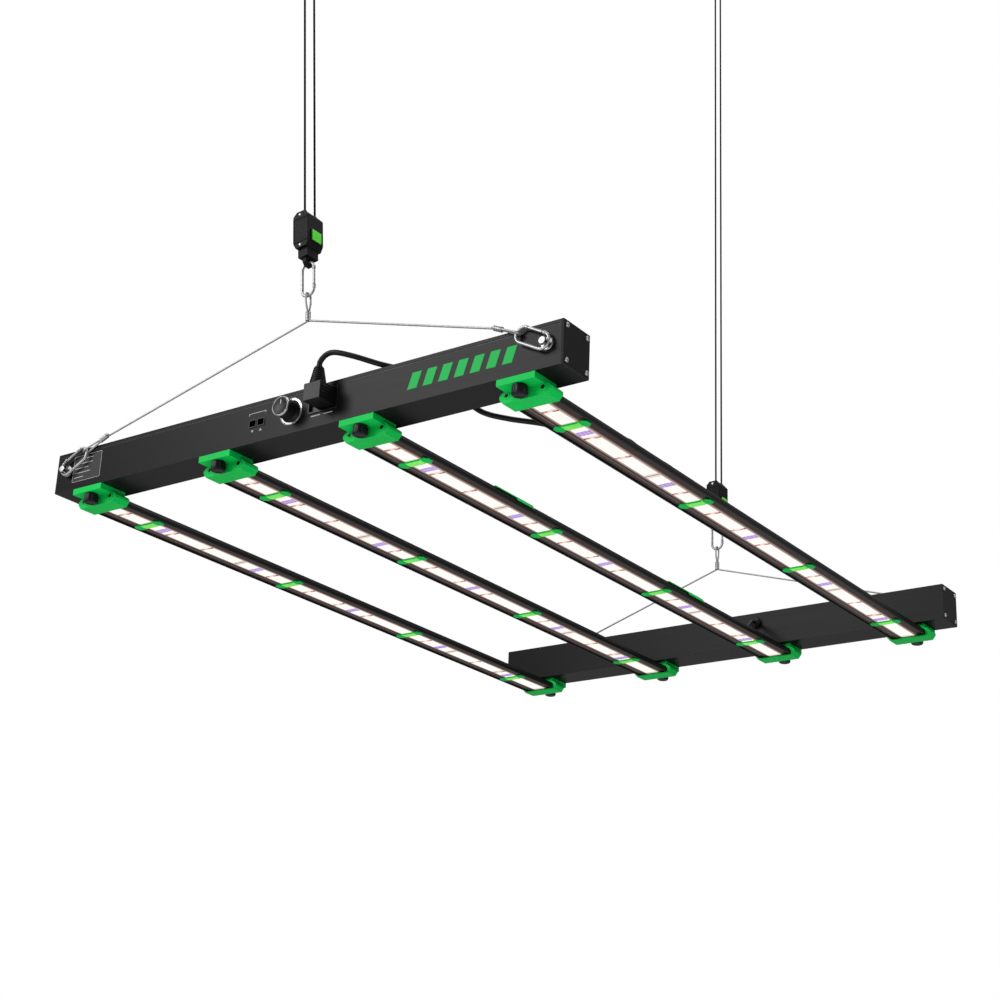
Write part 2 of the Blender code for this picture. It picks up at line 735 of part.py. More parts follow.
def button_shape(grow, start, end):
    """The release button, or its pocket when it is grown, along local X."""
    wide, high = BUTTON_HALF_Y + grow, BUTTON_HALF_Z + grow
    return prism(rectangle(-wide, wide, BUTTON_Z - high, BUTTON_Z + high), "X", start, end)


def make_ratchet(side, paint, button_paint):
    """The rope ratchet: a block with the button on its right side, and a lug for the snap hook."""
    matrix = chain_matrix(side)
    front = [
        (-BLOCK_HALF, BLOCK_BOTTOM + 0.0060),
        (-0.0090, BLOCK_BOTTOM - 0.0020),
        (0.0090, BLOCK_BOTTOM - 0.0020),
        (BLOCK_HALF, BLOCK_BOTTOM + 0.0060),
        (BLOCK_HALF, RATCHET_TOP - 0.0080),
        (0.0060, RATCHET_TOP),
        (-0.0070, RATCHET_TOP),
        (-BLOCK_HALF, RATCHET_TOP - 0.0060),
    ]
    name = f"ratchet_{SIDE_NAME[side]}"
    shape = prism(front, "Y", -BLOCK_HALF_DEPTH, BLOCK_HALF_DEPTH)
    ratchet = place(name, shape, paint, matrix=matrix)
    neck = block((-0.0080, -0.0110, 0.0930), (0.0080, 0.0110, BLOCK_BOTTOM + 0.0040))
    lug = [
        (-0.0080, 0.1000),
        (-0.0080, RATCHET_BOTTOM + 0.0050),
        (-0.0040, RATCHET_BOTTOM),
        (0.0040, RATCHET_BOTTOM),
        (0.0080, RATCHET_BOTTOM + 0.0050),
        (0.0080, 0.1000),
    ]
    combine(ratchet, "UNION", [neck, prism(lug, "X", -0.0030, 0.0030)], matrix)
    cuts = [prism(polygon((0, RATCHET_EYE), 0.0040, 12), "X", -0.004, 0.004)]
    for y in (-ROPE_HALF, ROPE_HALF):
        hole = polygon((ROPE_X, y), ROPE + 0.0006, 10)
        cuts.append(prism(hole, "Z", RATCHET_TOP - ROPE_HOLE_DEPTH, RATCHET_TOP + 0.001))
    cuts.append(button_shape(0.0004, BLOCK_HALF - 0.0060, BLOCK_HALF + 0.0010))
    combine(ratchet, "DIFFERENCE", cuts, matrix)
    shape = button_shape(0, BLOCK_HALF - 0.0028, BLOCK_HALF + 0.0027)
    pivot = matrix @ Vector((BLOCK_HALF, 0, BUTTON_Z))
    button = place(f"ratchet_button_{SIDE_NAME[side]}", shape, button_paint, pivot, matrix)
    return [ratchet, button]


def ceiling_point(side):
    """The middle of the ceiling hook's lowest point, where the rope goes over it."""
    matrix = chain_matrix(side)
    height = DROP - CEILING_HOOK_DROP
    start = matrix @ Vector((ROPE_X, 0, 0))
    up = matrix.to_3x3() @ Vector((0, 0, 1))
    return start + up * ((height - start.z) / up.z)


def make_rope(side, paint):
    """One rope: up from the ratchet, over the ceiling hook and down into the ratchet again."""
    matrix = chain_matrix(side)
    top = (matrix.inverted() @ ceiling_point(side)).z
    crown = top + CEILING_ROD + GAP + ROPE - ROPE_HALF
    points = [(ROPE_X, -ROPE_HALF, RATCHET_TOP - 0.0200), (ROPE_X, -ROPE_HALF, RATCHET_TOP + 0.3)]
    for i in range(9):
        angle = math.pi - math.pi * i / 8
        y, z = ROPE_HALF * math.cos(angle), crown + ROPE_HALF * math.sin(angle)
        points.append((ROPE_X, y, z))
    points.append((ROPE_X, ROPE_HALF, RATCHET_TOP + 0.3))
    points.append((ROPE_X, ROPE_HALF, RATCHET_TOP - 0.0200))
    line = [matrix @ Vector(p) for p in points]
    return cord(f"rope_{SIDE_NAME[side]}", line, ROPE, paint)


def make_ceiling_hook(side, paint):
    """A round plate on the ceiling with a cup hook under it."""
    low = ceiling_point(side)
    plate = turned([(DROP - 0.0030, 0.0230), (DROP - 0.0010, 0.0250), (DROP, 0.0250)], 24)
    centre = (low.x, low.y, 0)
    name = f"ceiling_hook_{SIDE_NAME[side]}"
    hook = place(name, plate, paint, matrix=Matrix.Translation(centre), rounded=True)
    r = CUP_RADIUS
    points = [(low.x, low.y, DROP - 0.0015), (low.x, low.y, low.z + 2 * r + 0.0040)]
    for i in range(11):
        angle = math.pi / 2 - math.radians(290) * (i + 1) / 11
        points.append((low.x + r * math.cos(angle), low.y, low.z + r + r * math.sin(angle)))
    combine(hook, "UNION", [tube(points, CEILING_ROD, 8)])
    return hook


def hang_on_axis(side, pieces):
    """Parents all that swings with one hanger to an empty on the line through its two bolts."""
    axis = bpy.data.objects.new(f"hanger_{SIDE_NAME[side]}_axis", None)
    axis.location = (0, rail_y(side, -HOOK_OFFSET), BOLT_Z - DROP)
    bpy.context.collection.objects.link(axis)
    for piece in pieces:
        piece.parent = axis
        piece.matrix_parent_inverse = Matrix.Translation(-axis.location)


def make_hank(paint):
    """The rest of the power cord, folded up on top of the fourth bar."""
    start = rail_y(NEAR, HANK_START)
    end = start + HANK_LENGTH
    outline = []
    for centre, turn in ((end - HANK_HALF, 0), (start + HANK_HALF, math.pi)):
        for i in range(7):
            angle = turn + math.pi * i / 6
            x = HANK_X + HANK_HALF * math.cos(angle)
            outline.append((x, centre + HANK_HALF * math.sin(angle)))
    return place("cord_hank", prism(outline, "Z", ON_BAR, ON_BAR + HANK_HEIGHT), paint)


def make_wall_plug(paint):
    """The mains plug at the cord's far end. It lies on the fourth bar beyond the hank."""
    start = rail_y(NEAR, HANK_START) + HANK_LENGTH + GAP + SLEEVE_LENGTH
    x, z = HANK_X - 0.0090, ON_BAR + GRIP_RADIUS
    end = start + GRIP_LENGTH
    grip = prism(polygon((x, z), GRIP_RADIUS, 12), "Y", start, end)
    plug = place("wall_plug", grip, paint)
    sleeve = turned([(-SLEEVE_LENGTH, 0.0045), (0.0020, 0.0070)], 10)
    sleeve.transform(along_y(x, start, z))
    pins = [sleeve]
    for dx in (-0.00635, 0.00635):
        pin = rectangle(x + dx - 0.00075, x + dx + 0.00075, z - 0.0031, z + 0.0031)
        pins.append(prism(pin, "Y", end - 0.002, end + 0.0160))
    pins.append(prism(polygon((x, z - 0.0070), 0.0024, 8), "Y", end - 0.002, end + 0.0180))
    combine(plug, "UNION", pins)
    return plug


def make_driver(paint):
    """The LED driver that powers the boards, inside the near rail."""
    low = (-0.3600, rail_y(NEAR, 0.0060), 0.0095)
    high = (-0.1000, rail_y(NEAR, 0.0490), 0.0480)
    return place("led_driver", block(low, high), paint)


def main():
    for old in list(bpy.data.objects):
        bpy.data.objects.remove(old)
    black = material("black_anodised", (0.020, 0.020, 0.022), 0.45, 0.6)
    cap = material("cap_black", (0.022, 0.022, 0.024), 0.5, 0.3)
    green = material("green_plastic", (0.010, 0.520, 0.110), 0.42, 0.0)
    board = material("led_board_grey", (0.300, 0.300, 0.300), 0.5, 0.0)
    plastic = material("black_plastic", (0.015, 0.015, 0.016), 0.4, 0.0)
    rubber = material("cord_rubber", (0.012, 0.012, 0.012), 0.6, 0.0)
    steel = material("zinc_steel", (0.560, 0.570, 0.580), 0.3, 1.0)
    rope = material("black_rope", (0.020, 0.020, 0.020), 0.85, 0.0)
    casing = material("driver_casing", (0.450, 0.460, 0.470), 0.4, 0.8)
    for side in (NEAR, FAR):
        make_rail(side, black)
        for index in range(len(BAR_X)):
            make_bracket(index, side, green)
            make_thumbscrew(index, side, plastic)
        hung = []
        for end in (-1, 1):
            where = f"{SIDE_NAME[side]}_{END_NAME[end]}"
            matrix = rail_hook_matrix(side, end)
            hung += make_hook(f"rail_hook_{where}", f"rail_hook_gate_{where}", matrix, steel)
        where = SIDE_NAME[side]
        matrix = chain_matrix(side) @ Matrix.Translation((0, 0, TOP_HOOK_FOOT))
        hung += make_hook(f"top_hook_{where}", f"top_hook_gate_{where}", matrix, steel)
        hung.append(make_hanger(side, steel))
        hung += make_ratchet(side, plastic, green)
        hung.append(make_rope(side, rope))
        hung.append(make_ceiling_hook(side, steel))
        hang_on_axis(side, hung)
    for end in (-1, 1):
        make_cap(end, cap)
    for index in range(len(BAR_X)):
        make_bar(index, black)
        make_board(index, board)
    make_dimmer_knob(plastic)
    make_inlet(plastic)
    make_power_plug(rubber)
    make_driver(casing)
    make_clip("lead_clip_near", -0.315, -0.229, (-0.269, -0.229), (-0.287, -0.247), green)
    make_clip("lead_clip_far", 0.134, 0.236, (0.190, 0.236), (0.171, 0.211), green)
    cord("link_lead", smooth_line(LEAD_ROUTE, 0.014), LEAD, rubber)
    cord("power_cord", smooth_line(CORD_ROUTE, 0.012), CORD, rubber)
    make_hank(rubber)
    make_wall_plug(rubber)


main()
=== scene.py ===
"""The looks of the LED grow light: its light boards, clips, hardware, cords and finishes.

Metres, +Z up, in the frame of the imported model. Heights called z count from the rails' underside,
and depths called dy run inwards from a rail's outer face, as in the part's own source."""

import json
import math

import bmesh
import bpy
from mathutils import Matrix, Vector


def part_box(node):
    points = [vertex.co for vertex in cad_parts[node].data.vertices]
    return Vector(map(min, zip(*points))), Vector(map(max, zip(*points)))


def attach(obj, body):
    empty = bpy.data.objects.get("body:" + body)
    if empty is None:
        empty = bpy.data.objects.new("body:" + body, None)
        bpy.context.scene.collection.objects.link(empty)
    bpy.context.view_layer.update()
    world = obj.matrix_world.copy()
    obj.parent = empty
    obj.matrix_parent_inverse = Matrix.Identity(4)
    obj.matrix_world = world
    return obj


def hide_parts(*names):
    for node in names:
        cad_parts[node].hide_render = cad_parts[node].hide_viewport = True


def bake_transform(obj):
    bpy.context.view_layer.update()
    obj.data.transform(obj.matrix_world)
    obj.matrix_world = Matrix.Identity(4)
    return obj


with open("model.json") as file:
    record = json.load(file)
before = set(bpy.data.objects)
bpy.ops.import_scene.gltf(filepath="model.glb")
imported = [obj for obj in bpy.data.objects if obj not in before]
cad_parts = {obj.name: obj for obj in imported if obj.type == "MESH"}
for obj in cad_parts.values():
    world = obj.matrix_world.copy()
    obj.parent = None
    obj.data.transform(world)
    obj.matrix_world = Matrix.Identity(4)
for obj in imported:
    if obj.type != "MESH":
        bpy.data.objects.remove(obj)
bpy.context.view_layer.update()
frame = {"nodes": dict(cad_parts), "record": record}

NEAR = -1
FAR = 1
SIDES = {NEAR: "near", FAR: "far"}
ENDS = {-1: "left", 1: "right"}

# Driving dimensions, from the frame
CAP_LOW, CAP_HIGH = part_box("near_rail_cap_right")
UNDER = CAP_LOW.z
HALF_SPAN = -CAP_LOW.y
RAIL_HEIGHT = CAP_HIGH.z - CAP_LOW.z
RAIL_DEPTH = CAP_HIGH.y - CAP_LOW.y
HALF_RAIL = CAP_LOW.x + 0.0022
BOARDS = [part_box(f"led_board_{number}") for number in (1, 2, 3, 4)]
BAR_X = [(low.x + high.x) / 2 for low, high in BOARDS]
BOARD_HALF = (BOARDS[0][1].x - BOARDS[0][0].x) / 2
BOARD_BOTTOM = BOARDS[0][0].z - UNDER
BAR_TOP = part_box("light_bar_1")[1].z - UNDER


def at(x, dy, z, side=NEAR):
    """A point in the row frame from its place on one rail."""
    return Vector((x, side * (HALF_SPAN - dy), UNDER + z))


# Camera -------------------------------------------------------------------------------------

CAMERA_PLACE = (1.48395, -2.13726, -2.28930)
CAMERA_YAW = -0.63079
CAMERA_PITCH = 0.36396
CAMERA_ROLL = 0.0435
CAMERA_LENS = 66.44
SENSOR = 36.0


def make_camera():
    sin_yaw, cos_yaw = math.sin(CAMERA_YAW), math.cos(CAMERA_YAW)
    sin_pitch, cos_pitch = math.sin(CAMERA_PITCH), math.cos(CAMERA_PITCH)
    forward = Vector((sin_yaw * cos_pitch, cos_yaw * cos_pitch, sin_pitch))
    level = Vector((cos_yaw, -sin_yaw, 0))
    above = level.cross(forward)
    right = math.cos(CAMERA_ROLL) * level + math.sin(CAMERA_ROLL) * above
    up = math.cos(CAMERA_ROLL) * above - math.sin(CAMERA_ROLL) * level
    data = bpy.data.cameras.new("camera")
    data.lens = CAMERA_LENS
    data.sensor_width = SENSOR
    camera = bpy.data.objects.new("camera", data)
    bpy.context.scene.collection.objects.link(camera)
    turn = Matrix((right, up, -forward)).transposed().to_4x4()
    camera.matrix_world = Matrix.Translation(CAMERA_PLACE) @ turn
    bpy.context.scene.camera = camera


# Mesh making --------------------------------------------------------------------------------


def angles(count):
    """Angles at an even spacing over one turn."""
    return [2 * math.pi * i / count for i in range(count)]


def polar(radius, angle):
    return radius * math.cos(angle), radius * math.sin(angle)


def turn_by(degrees, axis):
    return Matrix.Rotation(math.radians(degrees), 4, axis)


def shift_by(x, y, z):
    return Matrix.Translation((x, y, z))


def lofted(rings):
    """A closed shape through rings of points, with a face over either end."""
    shape = bmesh.new()
    made = [[shape.verts.new(point) for point in ring] for ring in rings]
    shape.faces.new(made[0])
    shape.faces.new(made[-1])
    bridge(shape, made)
    return shape


def hoop(columns):
    """A closed ring of faces through columns of corners."""
    shape = bmesh.new()
    made = [[shape.verts.new(point) for point in corners] for corners in columns]
    bridge(shape, made + made[:1])
    return shape


def prism(outline, axis, start, end):
    """A polygon pushed along an axis. Its points give the other two coordinates, in XYZ order."""
    index = "XYZ".index(axis)
    rings = []
    for along in (start, end):
        rings.append([(*point[:index], along, *point[index:]) for point in outline])
    return lofted(rings)


def bridge(shape, rings):
    """Joins each ring of points to the next one with a band of faces."""
    count = len(rings[0])
    for low, high in zip(rings, rings[1:]):
        for i in range(count):
            j = (i + 1) % count
            shape.faces.new((low[i], low[j], high[j], high[i]))


def turned(profile, sides, shaping=None):
    """A shape turned about Z from (z, radius) pairs. shaping(angle, z) scales the radius."""
    rings = []
    for z, radius in profile:
        ring = []
        for angle in angles(sides):
            r = radius * (shaping(angle, z) if shaping else 1)
            ring.append((*polar(r, angle), z))
        rings.append(ring)
    return lofted(rings)


def washer(profile, sides):
    """A closed ring turned about Z from the (z, radius) corners of its section."""
    return hoop([[(*polar(r, angle), z) for z, r in profile] for angle in angles(sides)])


def tube(points, radius, sides, ripple=None):
    """A round tube along points. ripple(distance, angle) scales its radius."""
    points = [Vector(p) for p in points]
    steps = [(b - a).normalized() for a, b in zip(points, points[1:])]
    tangents = [steps[0]]
    tangents += [(before + after).normalized() for before, after in zip(steps, steps[1:])]
    tangents.append(steps[-1])
    across = tangents[0].orthogonal().normalized()
    rings = []
    gone = 0.0
    last = points[0]
    for point, tangent in zip(points, tangents):
        gone += (point - last).length
        last = point
        across = (across - tangent * across.dot(tangent)).normalized()
        other = tangent.cross(across)
        ring = []
        for angle in angles(sides):
            r = radius * (ripple(gone, angle) if ripple else 1)
            offset = across * math.cos(angle) + other * math.sin(angle)
            ring.append(point + offset * r)
        rings.append(ring)
    return lofted(rings)


def smooth_line(route, spacing):
    """Points read from a smooth curve through the route, about one per spacing."""
    route = [Vector(p) for p in route]
    ends = [2 * route[0] - route[1]] + route + [2 * route[-1] - route[-2]]
    points = [route[0]]
    for before, a, b, after in zip(ends, ends[1:], ends[2:], ends[3:]):
        count = max(1, round((b - a).length / spacing))
        for i in range(1, count + 1):
            t = i / count
            bend = (2 * before - 5 * a + 4 * b - after) * t * t
            twist = (3 * a - before - 3 * b + after) * t**3
            points.append(0.5 * (2 * a + (b - before) * t + bend + twist))
    return points


def resampled(points, spacing):
    """The same line, with points at an even spacing."""
    made = [Vector(points[0])]
    for a, b in zip(points, points[1:]):
        a, b = Vector(a), Vector(b)
        count = max(1, round((b - a).length / spacing))
        made += [a.lerp(b, i / count) for i in range(1, count + 1)]
    return made


def rectangle(a0, a1, b0, b1):
    return [(a0, b0), (a1, b0), (a1, b1), (a0, b1)]


def block(low, high):
    return prism(rectangle(low[0], high[0], low[1], high[1]), "Z", low[2], high[2])


def arc(centre, radius, start, end, count):
    """Points on an arc, from one angle to another in degrees."""
    points = []
    for i in range(count + 1):
        a, b = polar(radius, math.radians(start + (end - start) * i / count))
        points.append((centre[0] + a, centre[1] + b))
    return points


def rounded_box(a0, a1, b0, b1, r):
    """A rectangle's outline with round corners."""
    points = []
    corners = ((a1 - r, b1 - r), (a0 + r, b1 - r), (a0 + r, b0 + r), (a1 - r, b0 + r))
    for quarter, corner in enumerate(corners):
        points += arc(corner, r, 90 * quarter, 90 * quarter + 90, 5)
    return points


def together(shapes):
    """One shape that holds several. The others are freed."""
    whole = bmesh.new()
    for shape in shapes:
        held = bpy.data.meshes.new("held")
        shape.to_mesh(held)
        shape.free()
        whole.from_mesh(held)
        bpy.data.meshes.remove(held)
    return whole


def moved(shape, matrix):
    shape.transform(matrix)
    return shape


def facing(place, side=NEAR):
    """Lays a shape that is turned about Z on a rail's outer face: its +Z looks outwards."""
    return Matrix.Translation(place) @ turn_by(-90 * side, "X")


def piece(name, shape, paint, body, sharp=38, bevel=0.0, segments=2):
    """Makes a named piece from a shape, shaded smooth between sharp edges, and lets it ride."""
    bmesh.ops.recalc_face_normals(shape, faces=shape.faces)
    mesh = bpy.data.meshes.new(name)
    shape.to_mesh(mesh)
    shape.free()
    mesh.materials.append(paint)
    mesh.shade_smooth()
    mesh.set_sharp_from_angle(angle=math.radians(sharp))
    made = bpy.data.objects.new(name, mesh)
    bpy.context.scene.collection.objects.link(made)
    if bevel:
        modifier = made.modifiers.new("bevel", "BEVEL")
        modifier.width = bevel
        modifier.segments = segments
        modifier.limit_method = "ANGLE"
        modifier.angle_limit = math.radians(35)
        modifier.use_clamp_overlap = True
    if body:
        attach(made, body)
    return made


# Materials ----------------------------------------------------------------------------------


def add(tree, kind, inputs=None, **settings):
    """A new node, with its settings, its input values and its links."""
    made = tree.nodes.new(kind)
    for key, value in settings.items():
        setattr(made, key, value)
    for key, value in (inputs or {}).items():
        socket = made.inputs[key]
        if isinstance(value, bpy.types.NodeSocket):
            tree.links.new(value, socket)
        else:
            socket.default_value = value
    return made


def new_group(name, inputs, outputs):
    """A shader node group. Inputs are (name, kind, value); outputs are (name, kind)."""
    tree = bpy.data.node_groups.new(name, "ShaderNodeTree")
    for label, kind, value in inputs:
        socket = tree.interface.new_socket(label, in_out="INPUT", socket_type=f"NodeSocket{kind}")
        if value is not None:
            socket.default_value = value
    for label, kind in outputs:
        tree.interface.new_socket(label, in_out="OUTPUT", socket_type=f"NodeSocket{kind}")
    return tree, tree.nodes.new("NodeGroupInput"), tree.nodes.new("NodeGroupOutput")


def bumped(tree, height, given):
    """A normal bumped by a height, with a group's own depth and starting normal."""
    inputs = {"Height": height, "Strength": 1.0}
    inputs["Distance"] = given.outputs["Depth"]
    inputs["Normal"] = given.outputs["Normal"]
    return add(tree, "ShaderNodeBump", inputs).outputs["Normal"]


def connect(tree, node, **values):
    """Links values to a node's inputs, whose names have _ for a space."""
    for label, value in values.items():
        tree.links.new(value, node.inputs[label.replace("_", " ")])


def grain_group():
    """Moulded or blasted grain: a mottled mask and a bumped normal."""
    tree, given, out = new_group(
        "grain",
        [("Size", "Float", 900.0), ("Depth", "Float", 0.00003), ("Normal", "Vector", None)],
        [("Mask", "Float"), ("Normal", "Vector")],
    )
    place = add(tree, "ShaderNodeTexCoord").outputs["Object"]
    size = given.outputs["Size"]
    fine = add(tree, "ShaderNodeTexNoise", {"Vector": place, "Scale": size}).outputs["Fac"]
    wide = add(tree, "ShaderNodeTexNoise", {"Vector": place, "Scale": 14.0, "Detail": 4.0})
    both = {0: fine, 1: wide.outputs["Fac"]}
    mask = add(tree, "ShaderNodeMath", both, operation="MULTIPLY").outputs[0]
    connect(tree, out, Mask=mask, Normal=bumped(tree, fine, given))
    return tree


def edge_group():
    """Rounds hard edges in the shading, and finds them for paler edges that are partly wear and partly
    a painted highlight.
    """
    tree, given, out = new_group(
        "edges", [("Radius", "Float", 0.0005)], [("Wear", "Float"), ("Normal", "Vector")]
    )
    rounded = add(tree, "ShaderNodeBevel", {"Radius": given.outputs["Radius"]}, samples=4)
    rounded = rounded.outputs["Normal"]
    plain = add(tree, "ShaderNodeNewGeometry").outputs["Normal"]
    both = {0: rounded, 1: plain}
    agreed = add(tree, "ShaderNodeVectorMath", both, operation="DOT_PRODUCT").outputs["Value"]
    wear_and_highlight = add(tree, "ShaderNodeMapRange", {"Value": agreed, "From Min": 0.995, "From Max": 0.82})
    connect(tree, out, Wear=wear_and_highlight.outputs["Result"], Normal=rounded)
    return tree


def drawn_group():
    """Fine lines along the direction that a section was drawn in: a long axis has a small scale."""
    inputs = [("Stretch", "Vector", (6.0, 900.0, 900.0)), ("Depth", "Float", 0.00001)]
    inputs.append(("Normal", "Vector", None))
    tree, given, out = new_group("drawn_lines", inputs, [("Mask", "Float"), ("Normal", "Vector")])
    place = add(tree, "ShaderNodeTexCoord").outputs["Object"]
    both = {0: place, 1: given.outputs["Stretch"]}
    scaled = add(tree, "ShaderNodeVectorMath", both, operation="MULTIPLY").outputs[0]
    lines = add(tree, "ShaderNodeTexNoise", {"Vector": scaled, "Scale": 1.0, "Detail": 5.0})
    lines = lines.outputs["Fac"]
    connect(tree, out, Mask=lines, Normal=bumped(tree, lines, given))
    return tree


GRAIN = grain_group()
EDGES = edge_group()
DRAWN = drawn_group()


def new_material(name, roughness=0.5, metallic=0.0, specular=0.5, coat=0.0):
    """A material with a Principled shader whose plain values are set on its own sockets."""
    made = bpy.data.materials.new(name)
    made.use_nodes = True
    shader = made.node_tree.nodes["Principled BSDF"]
    shader.inputs["Roughness"].default_value = roughness
    shader.inputs["Metallic"].default_value = metallic
    shader.inputs["Specular IOR Level"].default_value = specular
    shader.inputs["Coat Weight"].default_value = coat
    return made, made.node_tree, shader


def mixed(tree, mask, low, high):
    """A colour between two, by a mask."""
    made = add(tree, "ShaderNodeMix", data_type="RGBA")
    tree.links.new(mask, made.inputs[0])
    made.inputs[6].default_value = (*low, 1)
    made.inputs[7].default_value = (*high, 1)
    return made.outputs[2]


def over(tree, mask, under, top):
    """A plain colour laid over another colour by a mask."""
    made = add(tree, "ShaderNodeMix", data_type="RGBA")
    tree.links.new(mask, made.inputs[0])
    tree.links.new(under, made.inputs[6])
    made.inputs[7].default_value = (*top, 1)
    return made.outputs[2]


def stretched(tree, value, low, high, out_low, out_high):
    made = add(
        tree,
        "ShaderNodeMapRange",
        {"Value": value, "From Min": low, "From Max": high, "To Min": out_low, "To Max": out_high},
    )
    return made.outputs["Result"]


def use(tree, group, **values):
    """A group placed in a material, with its inputs by name."""
    made = tree.nodes.new("ShaderNodeGroup")
    made.node_tree = group
    for key, value in values.items():
        if isinstance(value, bpy.types.NodeSocket):
            tree.links.new(value, made.inputs[key])
        else:
            made.inputs[key].default_value = value
    return made.outputs


def finish_material(name, dark, light, edge_wear_and_highlight, rough, grain, depth, radius=0.0006, **plain):
    """A moulded or coated finish: mottled between two colours, with grain and paler edges that are
    partly wear and partly a painted highlight.
    """
    made, tree, shader = new_material(name, **plain)
    edges = use(tree, EDGES, Radius=radius)
    speckle = use(tree, GRAIN, Size=grain, Depth=depth, Normal=edges["Normal"])
    blotch = stretched(tree, speckle["Mask"], 0.12, 0.42, 0.0, 1.0)
    connect(
        tree,
        shader,
        # Paler edges: partly wear, partly a painted highlight
        Base_Color=over(tree, edges["Wear"], mixed(tree, blotch, dark, light), edge_wear_and_highlight),
        Roughness=stretched(tree, speckle["Mask"], 0.1, 0.45, rough - 0.06, rough + 0.06),
        Normal=speckle["Normal"],
    )
    return made


def extruded_material(name, stretch, dark, light, edge_wear_and_highlight, rough, **plain):
    """Satin black anodised aluminium, with fine lines along the section."""
    made, tree, shader = new_material(name, **plain)
    edges = use(tree, EDGES, Radius=0.0007)
    lines = use(tree, DRAWN, Stretch=stretch, Depth=0.000002, Normal=edges["Normal"])
    speckle = use(tree, GRAIN, Size=1600.0, Depth=0.000008, Normal=lines["Normal"])
    connect(
        tree,
        shader,
        # Paler edges: partly wear, partly a painted highlight
        Base_Color=over(tree, edges["Wear"], mixed(tree, lines["Mask"], dark, light), edge_wear_and_highlight),
        Roughness=stretched(tree, lines["Mask"], 0.3, 0.7, rough - 0.02, rough + 0.03),
        Normal=speckle["Normal"],
    )
    return made


def metal_material(name, dark, light, rough, grain):
    """Zinc-plated or bright steel: cloudy, a little scratched."""
    made, tree, shader = new_material(name, rough, 1.0)
    edges = use(tree, EDGES, Radius=0.0003)
    speckle = use(tree, GRAIN, Size=grain, Depth=0.00002, Normal=edges["Normal"])
    blotch = stretched(tree, speckle["Mask"], 0.12, 0.4, 0.0, 1.0)
    connect(
        tree,
        shader,
        Base_Color=mixed(tree, blotch, dark, light),
        Roughness=stretched(tree, speckle["Mask"], 0.1, 0.45, rough - 0.08, rough + 0.1),
        Normal=speckle["Normal"],
    )
    return made


def glowing_material(name, dim, bright, strength, base):
    """A lit surface whose glow varies a little from place to place."""
    made, tree, shader = new_material(name, 0.35)
    speckle = use(tree, GRAIN, Size=420.0, Depth=0.00002)
    blotch = stretched(tree, speckle["Mask"], 0.1, 0.4, 0.0, 1.0)
    tree.links.new(mixed(tree, blotch, dim, bright), shader.inputs["Emission Color"])
    shader.inputs["Base Color"].default_value = (*base, 1)
    shader.inputs["Emission Strength"].default_value = strength
    return made


def section_material(name, bands, rough, specular=0.5):
    """A finish that changes across a bar: bands are (distance from the bar's middle, colour)."""
    made, tree, shader = new_material(name, rough, 0.0, specular)
    place = add(tree, "ShaderNodeTexCoord")
    parts = add(tree, "ShaderNodeSeparateXYZ", {"Vector": place.outputs["Object"]})
    spacing = BAR_X[1] - BAR_X[0]
    first = {0: parts.outputs["X"], 1: BAR_X[0] - spacing / 2}
    shifted = add(tree, "ShaderNodeMath", first, operation="SUBTRACT")
    wrapped = add(tree, "ShaderNodeMath", {0: shifted.outputs[0], 1: spacing}, operation="MODULO")
    half, reach = spacing / 2, 0.03
    across = stretched(tree, wrapped.outputs[0], half - reach, half + reach, 0.0, 1.0)
    ramp = add(tree, "ShaderNodeValToRGB", {"Fac": across})
    points = ramp.color_ramp.elements
    places = [(distance + reach) / (2 * reach) for distance, _ in bands]
    points[0].position, points[1].position = places[0], places[-1]
    for place_on in places[1:-1]:
        points.new(place_on)
    for point, (_, colour) in zip(points, bands):
        point.color = (*colour, 1)
    edges = use(tree, EDGES, Radius=0.0005)
    lines = use(tree, DRAWN, Stretch=(900.0, 6.0, 900.0), Depth=0.000006, Normal=edges["Normal"])
    shade = stretched(tree, lines["Mask"], 0.3, 0.7, 0.85, 1.1)
    both = {0: ramp.outputs["Color"], "Scale": shade}
    colour = add(tree, "ShaderNodeVectorMath", both, operation="SCALE").outputs[0]
    connect(tree, shader, Base_Color=colour, Normal=lines["Normal"])
    return made


# Paler edge colour: partly wear, partly a painted highlight
EDGE_WEAR_AND_HIGHLIGHT = (0.09, 0.09, 0.092)
ALONG_X = (5.0, 900.0, 900.0)
ALONG_Y = (900.0, 5.0, 900.0)
# Dark, light and edge colours; the edge colour is partly wear and partly a painted highlight
RAIL_COLOURS = (0.0048, 0.0048, 0.0050), (0.0066, 0.0066, 0.0069), (0.045, 0.045, 0.046)
BAR_COLOURS = (0.0030, 0.0030, 0.0033), (0.0050, 0.0050, 0.0053), (0.016, 0.016, 0.017)

RAIL = extruded_material("rail_anodised", ALONG_X, *RAIL_COLOURS, 0.34, specular=0.05)
BAR = extruded_material("bar_anodised", ALONG_Y, *BAR_COLOURS, 0.42, specular=0.10)
